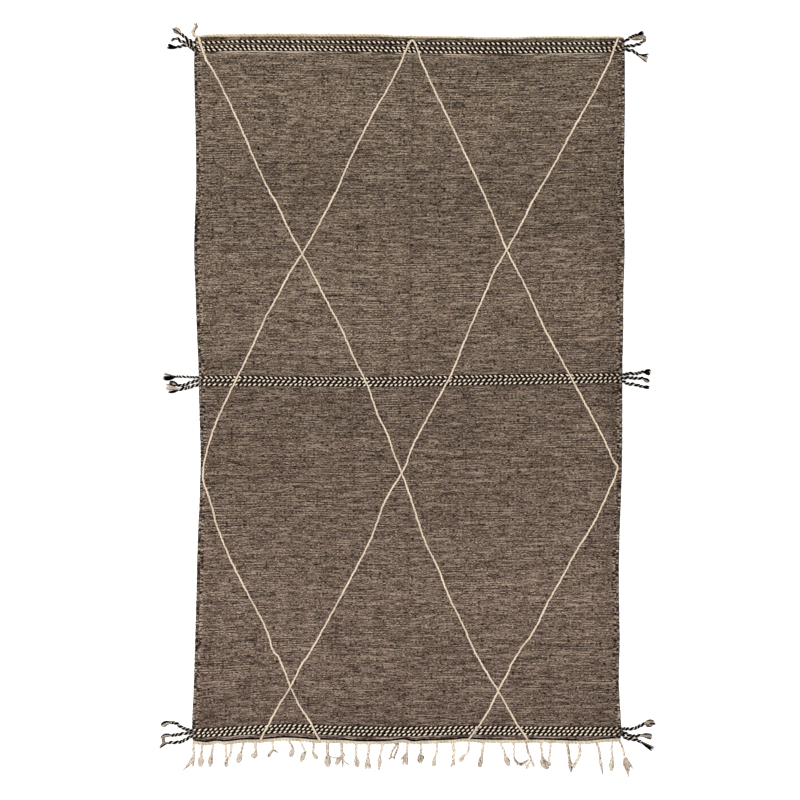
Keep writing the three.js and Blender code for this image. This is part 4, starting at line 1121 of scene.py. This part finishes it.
strays = [  # dark wisps on and beside the tufts: way, thickness, shade
    ([(-0.322, -1.466), (-0.306, -1.472), (-0.29, -1.475), (-0.27, -1.47)], 0.0042, 0.12),
    ([(-0.264, -1.48), (-0.252, -1.494), (-0.238, -1.502)], 0.0042, 0.18),
    ([(-0.266, -1.486), (-0.265, -1.512)], 0.004, 0.18),
    ([(-0.262, -1.456), (-0.257, -1.464), (-0.263, -1.474)], 0.003, 0.05),
    ([(-0.552, -1.448), (-0.544, -1.443), (-0.53, -1.447)], 0.0026, 0.1),
    ([(-0.561, -1.462), (-0.567, -1.474)], 0.0026, 0.2),
    ([(-0.905, -1.526), (-0.893, -1.516), (-0.88, -1.504)], 0.003, 0.22),
    ([(-0.32, -1.414), (-0.32, -1.462)], 0.0026, 0.25),
    ([(-0.264, -1.42), (-0.264, -1.458)], 0.0024, 0.3),
    ([(0.041, -1.462), (0.056, -1.466), (0.06, -1.478)], 0.0028, 0.06),
    ([(0.033, -1.48), (0.037, -1.492)], 0.0028, 0.06),
    ([(0.424, -1.476), (0.434, -1.49), (0.446, -1.499), (0.456, -1.496)], 0.003, 0.08),
    ([(0.392, -1.47), (0.402, -1.484), (0.405, -1.496)], 0.0028, 0.16),
    ([(0.47, -1.506), (0.466, -1.5), (0.468, -1.514), (0.472, -1.522)], 0.0028, 0.2),
    ([(0.532, -1.472), (0.541, -1.484), (0.547, -1.498)], 0.0036, 0.03),
    ([(0.636, -1.436), (0.64, -1.462)], 0.0028, 0.16),
    ([(0.64, -1.474), (0.652, -1.496), (0.656, -1.504), (0.65, -1.516)], 0.003, 0.1),
    ([(0.66, -1.5), (0.668, -1.49)], 0.0026, 0.2),
    ([(0.768, -1.5), (0.772, -1.52), (0.776, -1.54)], 0.0034, 0.1),
    ([(0.814, -1.462), (0.817, -1.478)], 0.0026, 0.2),
    ([(0.87, -1.474), (0.884, -1.496), (0.898, -1.518)], 0.0034, 0.06),
    ([(0.872, -1.52), (0.884, -1.526)], 0.0028, 0.2),
    ([(0.838, -1.404), (0.846, -1.414), (0.852, -1.432)], 0.003, 0.12),
]


def knot(skein, at, towards, shade):  # the cord wound round itself
    shape = knotShape
    angle = np.linspace(0, 2 * math.pi * shape["turns"], shape["points"])
    ahead = np.subtract(towards, at)
    ahead = ahead / np.linalg.norm(ahead)
    across = np.array([-ahead[1], ahead[0]])
    along = np.linspace(-0.5, 0.5, shape["points"]) * shape["radius"] * shape["length"]
    line = at + ahead * along[:, None] + across * shape["radius"] * np.cos(angle)[:, None]
    z = shape["centre"] + shape["lift"] * np.sin(angle)
    skein.strand(np.column_stack([line, z]), shape["width"], shape["height"], shade)


def makeFringe():
    shape = fringeShape
    skein, chance = Skein(403), random.Random(402)
    for row in fringe:
        thick = row.get("thick", 1.0)
        root = float(follow(bottomHeadingLine, 1, row["root"])) - shape["rootGap"]
        way = [(x, y, shape["centre"] * thick) for x, y in ((row["root"], root), *row["way"])]
        if len(way) == 2:
            a, b = np.array(way)
            bow = np.array([b[1] - a[1], a[0] - b[0], 0]) * chance.uniform(-0.05, 0.05)
            way.insert(1, (a + b) / 2 + bow)
        tone = row.get("tone", chance.uniform(0.66, 0.95))
        stem = smoothPath(way, shape["step"])
        yarn = altered(shape, pitch=chance.uniform(0.85, 1.2), swing=thick, lift=thick,
                       width=thick, height=thick)
        skein.twist(stem, yarn, (tone, tone * 0.86), phase=chance.uniform(0, 6))
        beside = stem + np.array([chance.choice((-0.0042, 0.0040)) * thick, 0, 0.0006])
        skein.strand(beside, 0.0024 * thick, 0.0020, tone * 0.52, sides=5)  # painted shade along one side of the cord, drawn as a darker thread
        if "tip" not in row:
            continue
        end = row["way"][-1]
        knot(skein, end, row["tip"][0], tone * 0.62)
        changes = {"shade": row.get("shade", shape["shade"]), "thick": shape["fibreThick"],
                   "dark": shape["darkFibres"]}
        tuft(skein, [end, *row["tip"]], row["width"], kind=row.get("kind", "bulb"),
             fibres=int(22 + row["width"] * 1500), **changes)
        if "lobe" in row:
            tuft(skein, [end, *row["lobe"]], shape["lobeWidth"], kind="club",
                 fibres=shape["lobeFibres"], rim=0.4, **changes)
        if "spot" in row:  # a dark knot on the tuft
            x, y = row["spot"]
            skein.strand([(x - 0.0022, y + 0.003, 0.0074), (x, y, 0.0080),
                          (x + 0.0022, y - 0.003, 0.0074)], 0.0042, 0.0018, 0.02)
    for way, thick, tone in strays:
        line = smoothPath([(x, y, shape["strayHeight"]) for x, y in way], 0.003)
        line[0, 2] = line[-1, 2] = shape["strayEnd"]
        skein.strand(line, thick, 0.0022, tone, sides=5)
    made = skein.piece("fringe_yarn", fringeWool, "fringe_cream")
    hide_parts("bottom_heading_fringe")
    return made


fringeYarn = makeFringe()
print("headings and fringe ready")
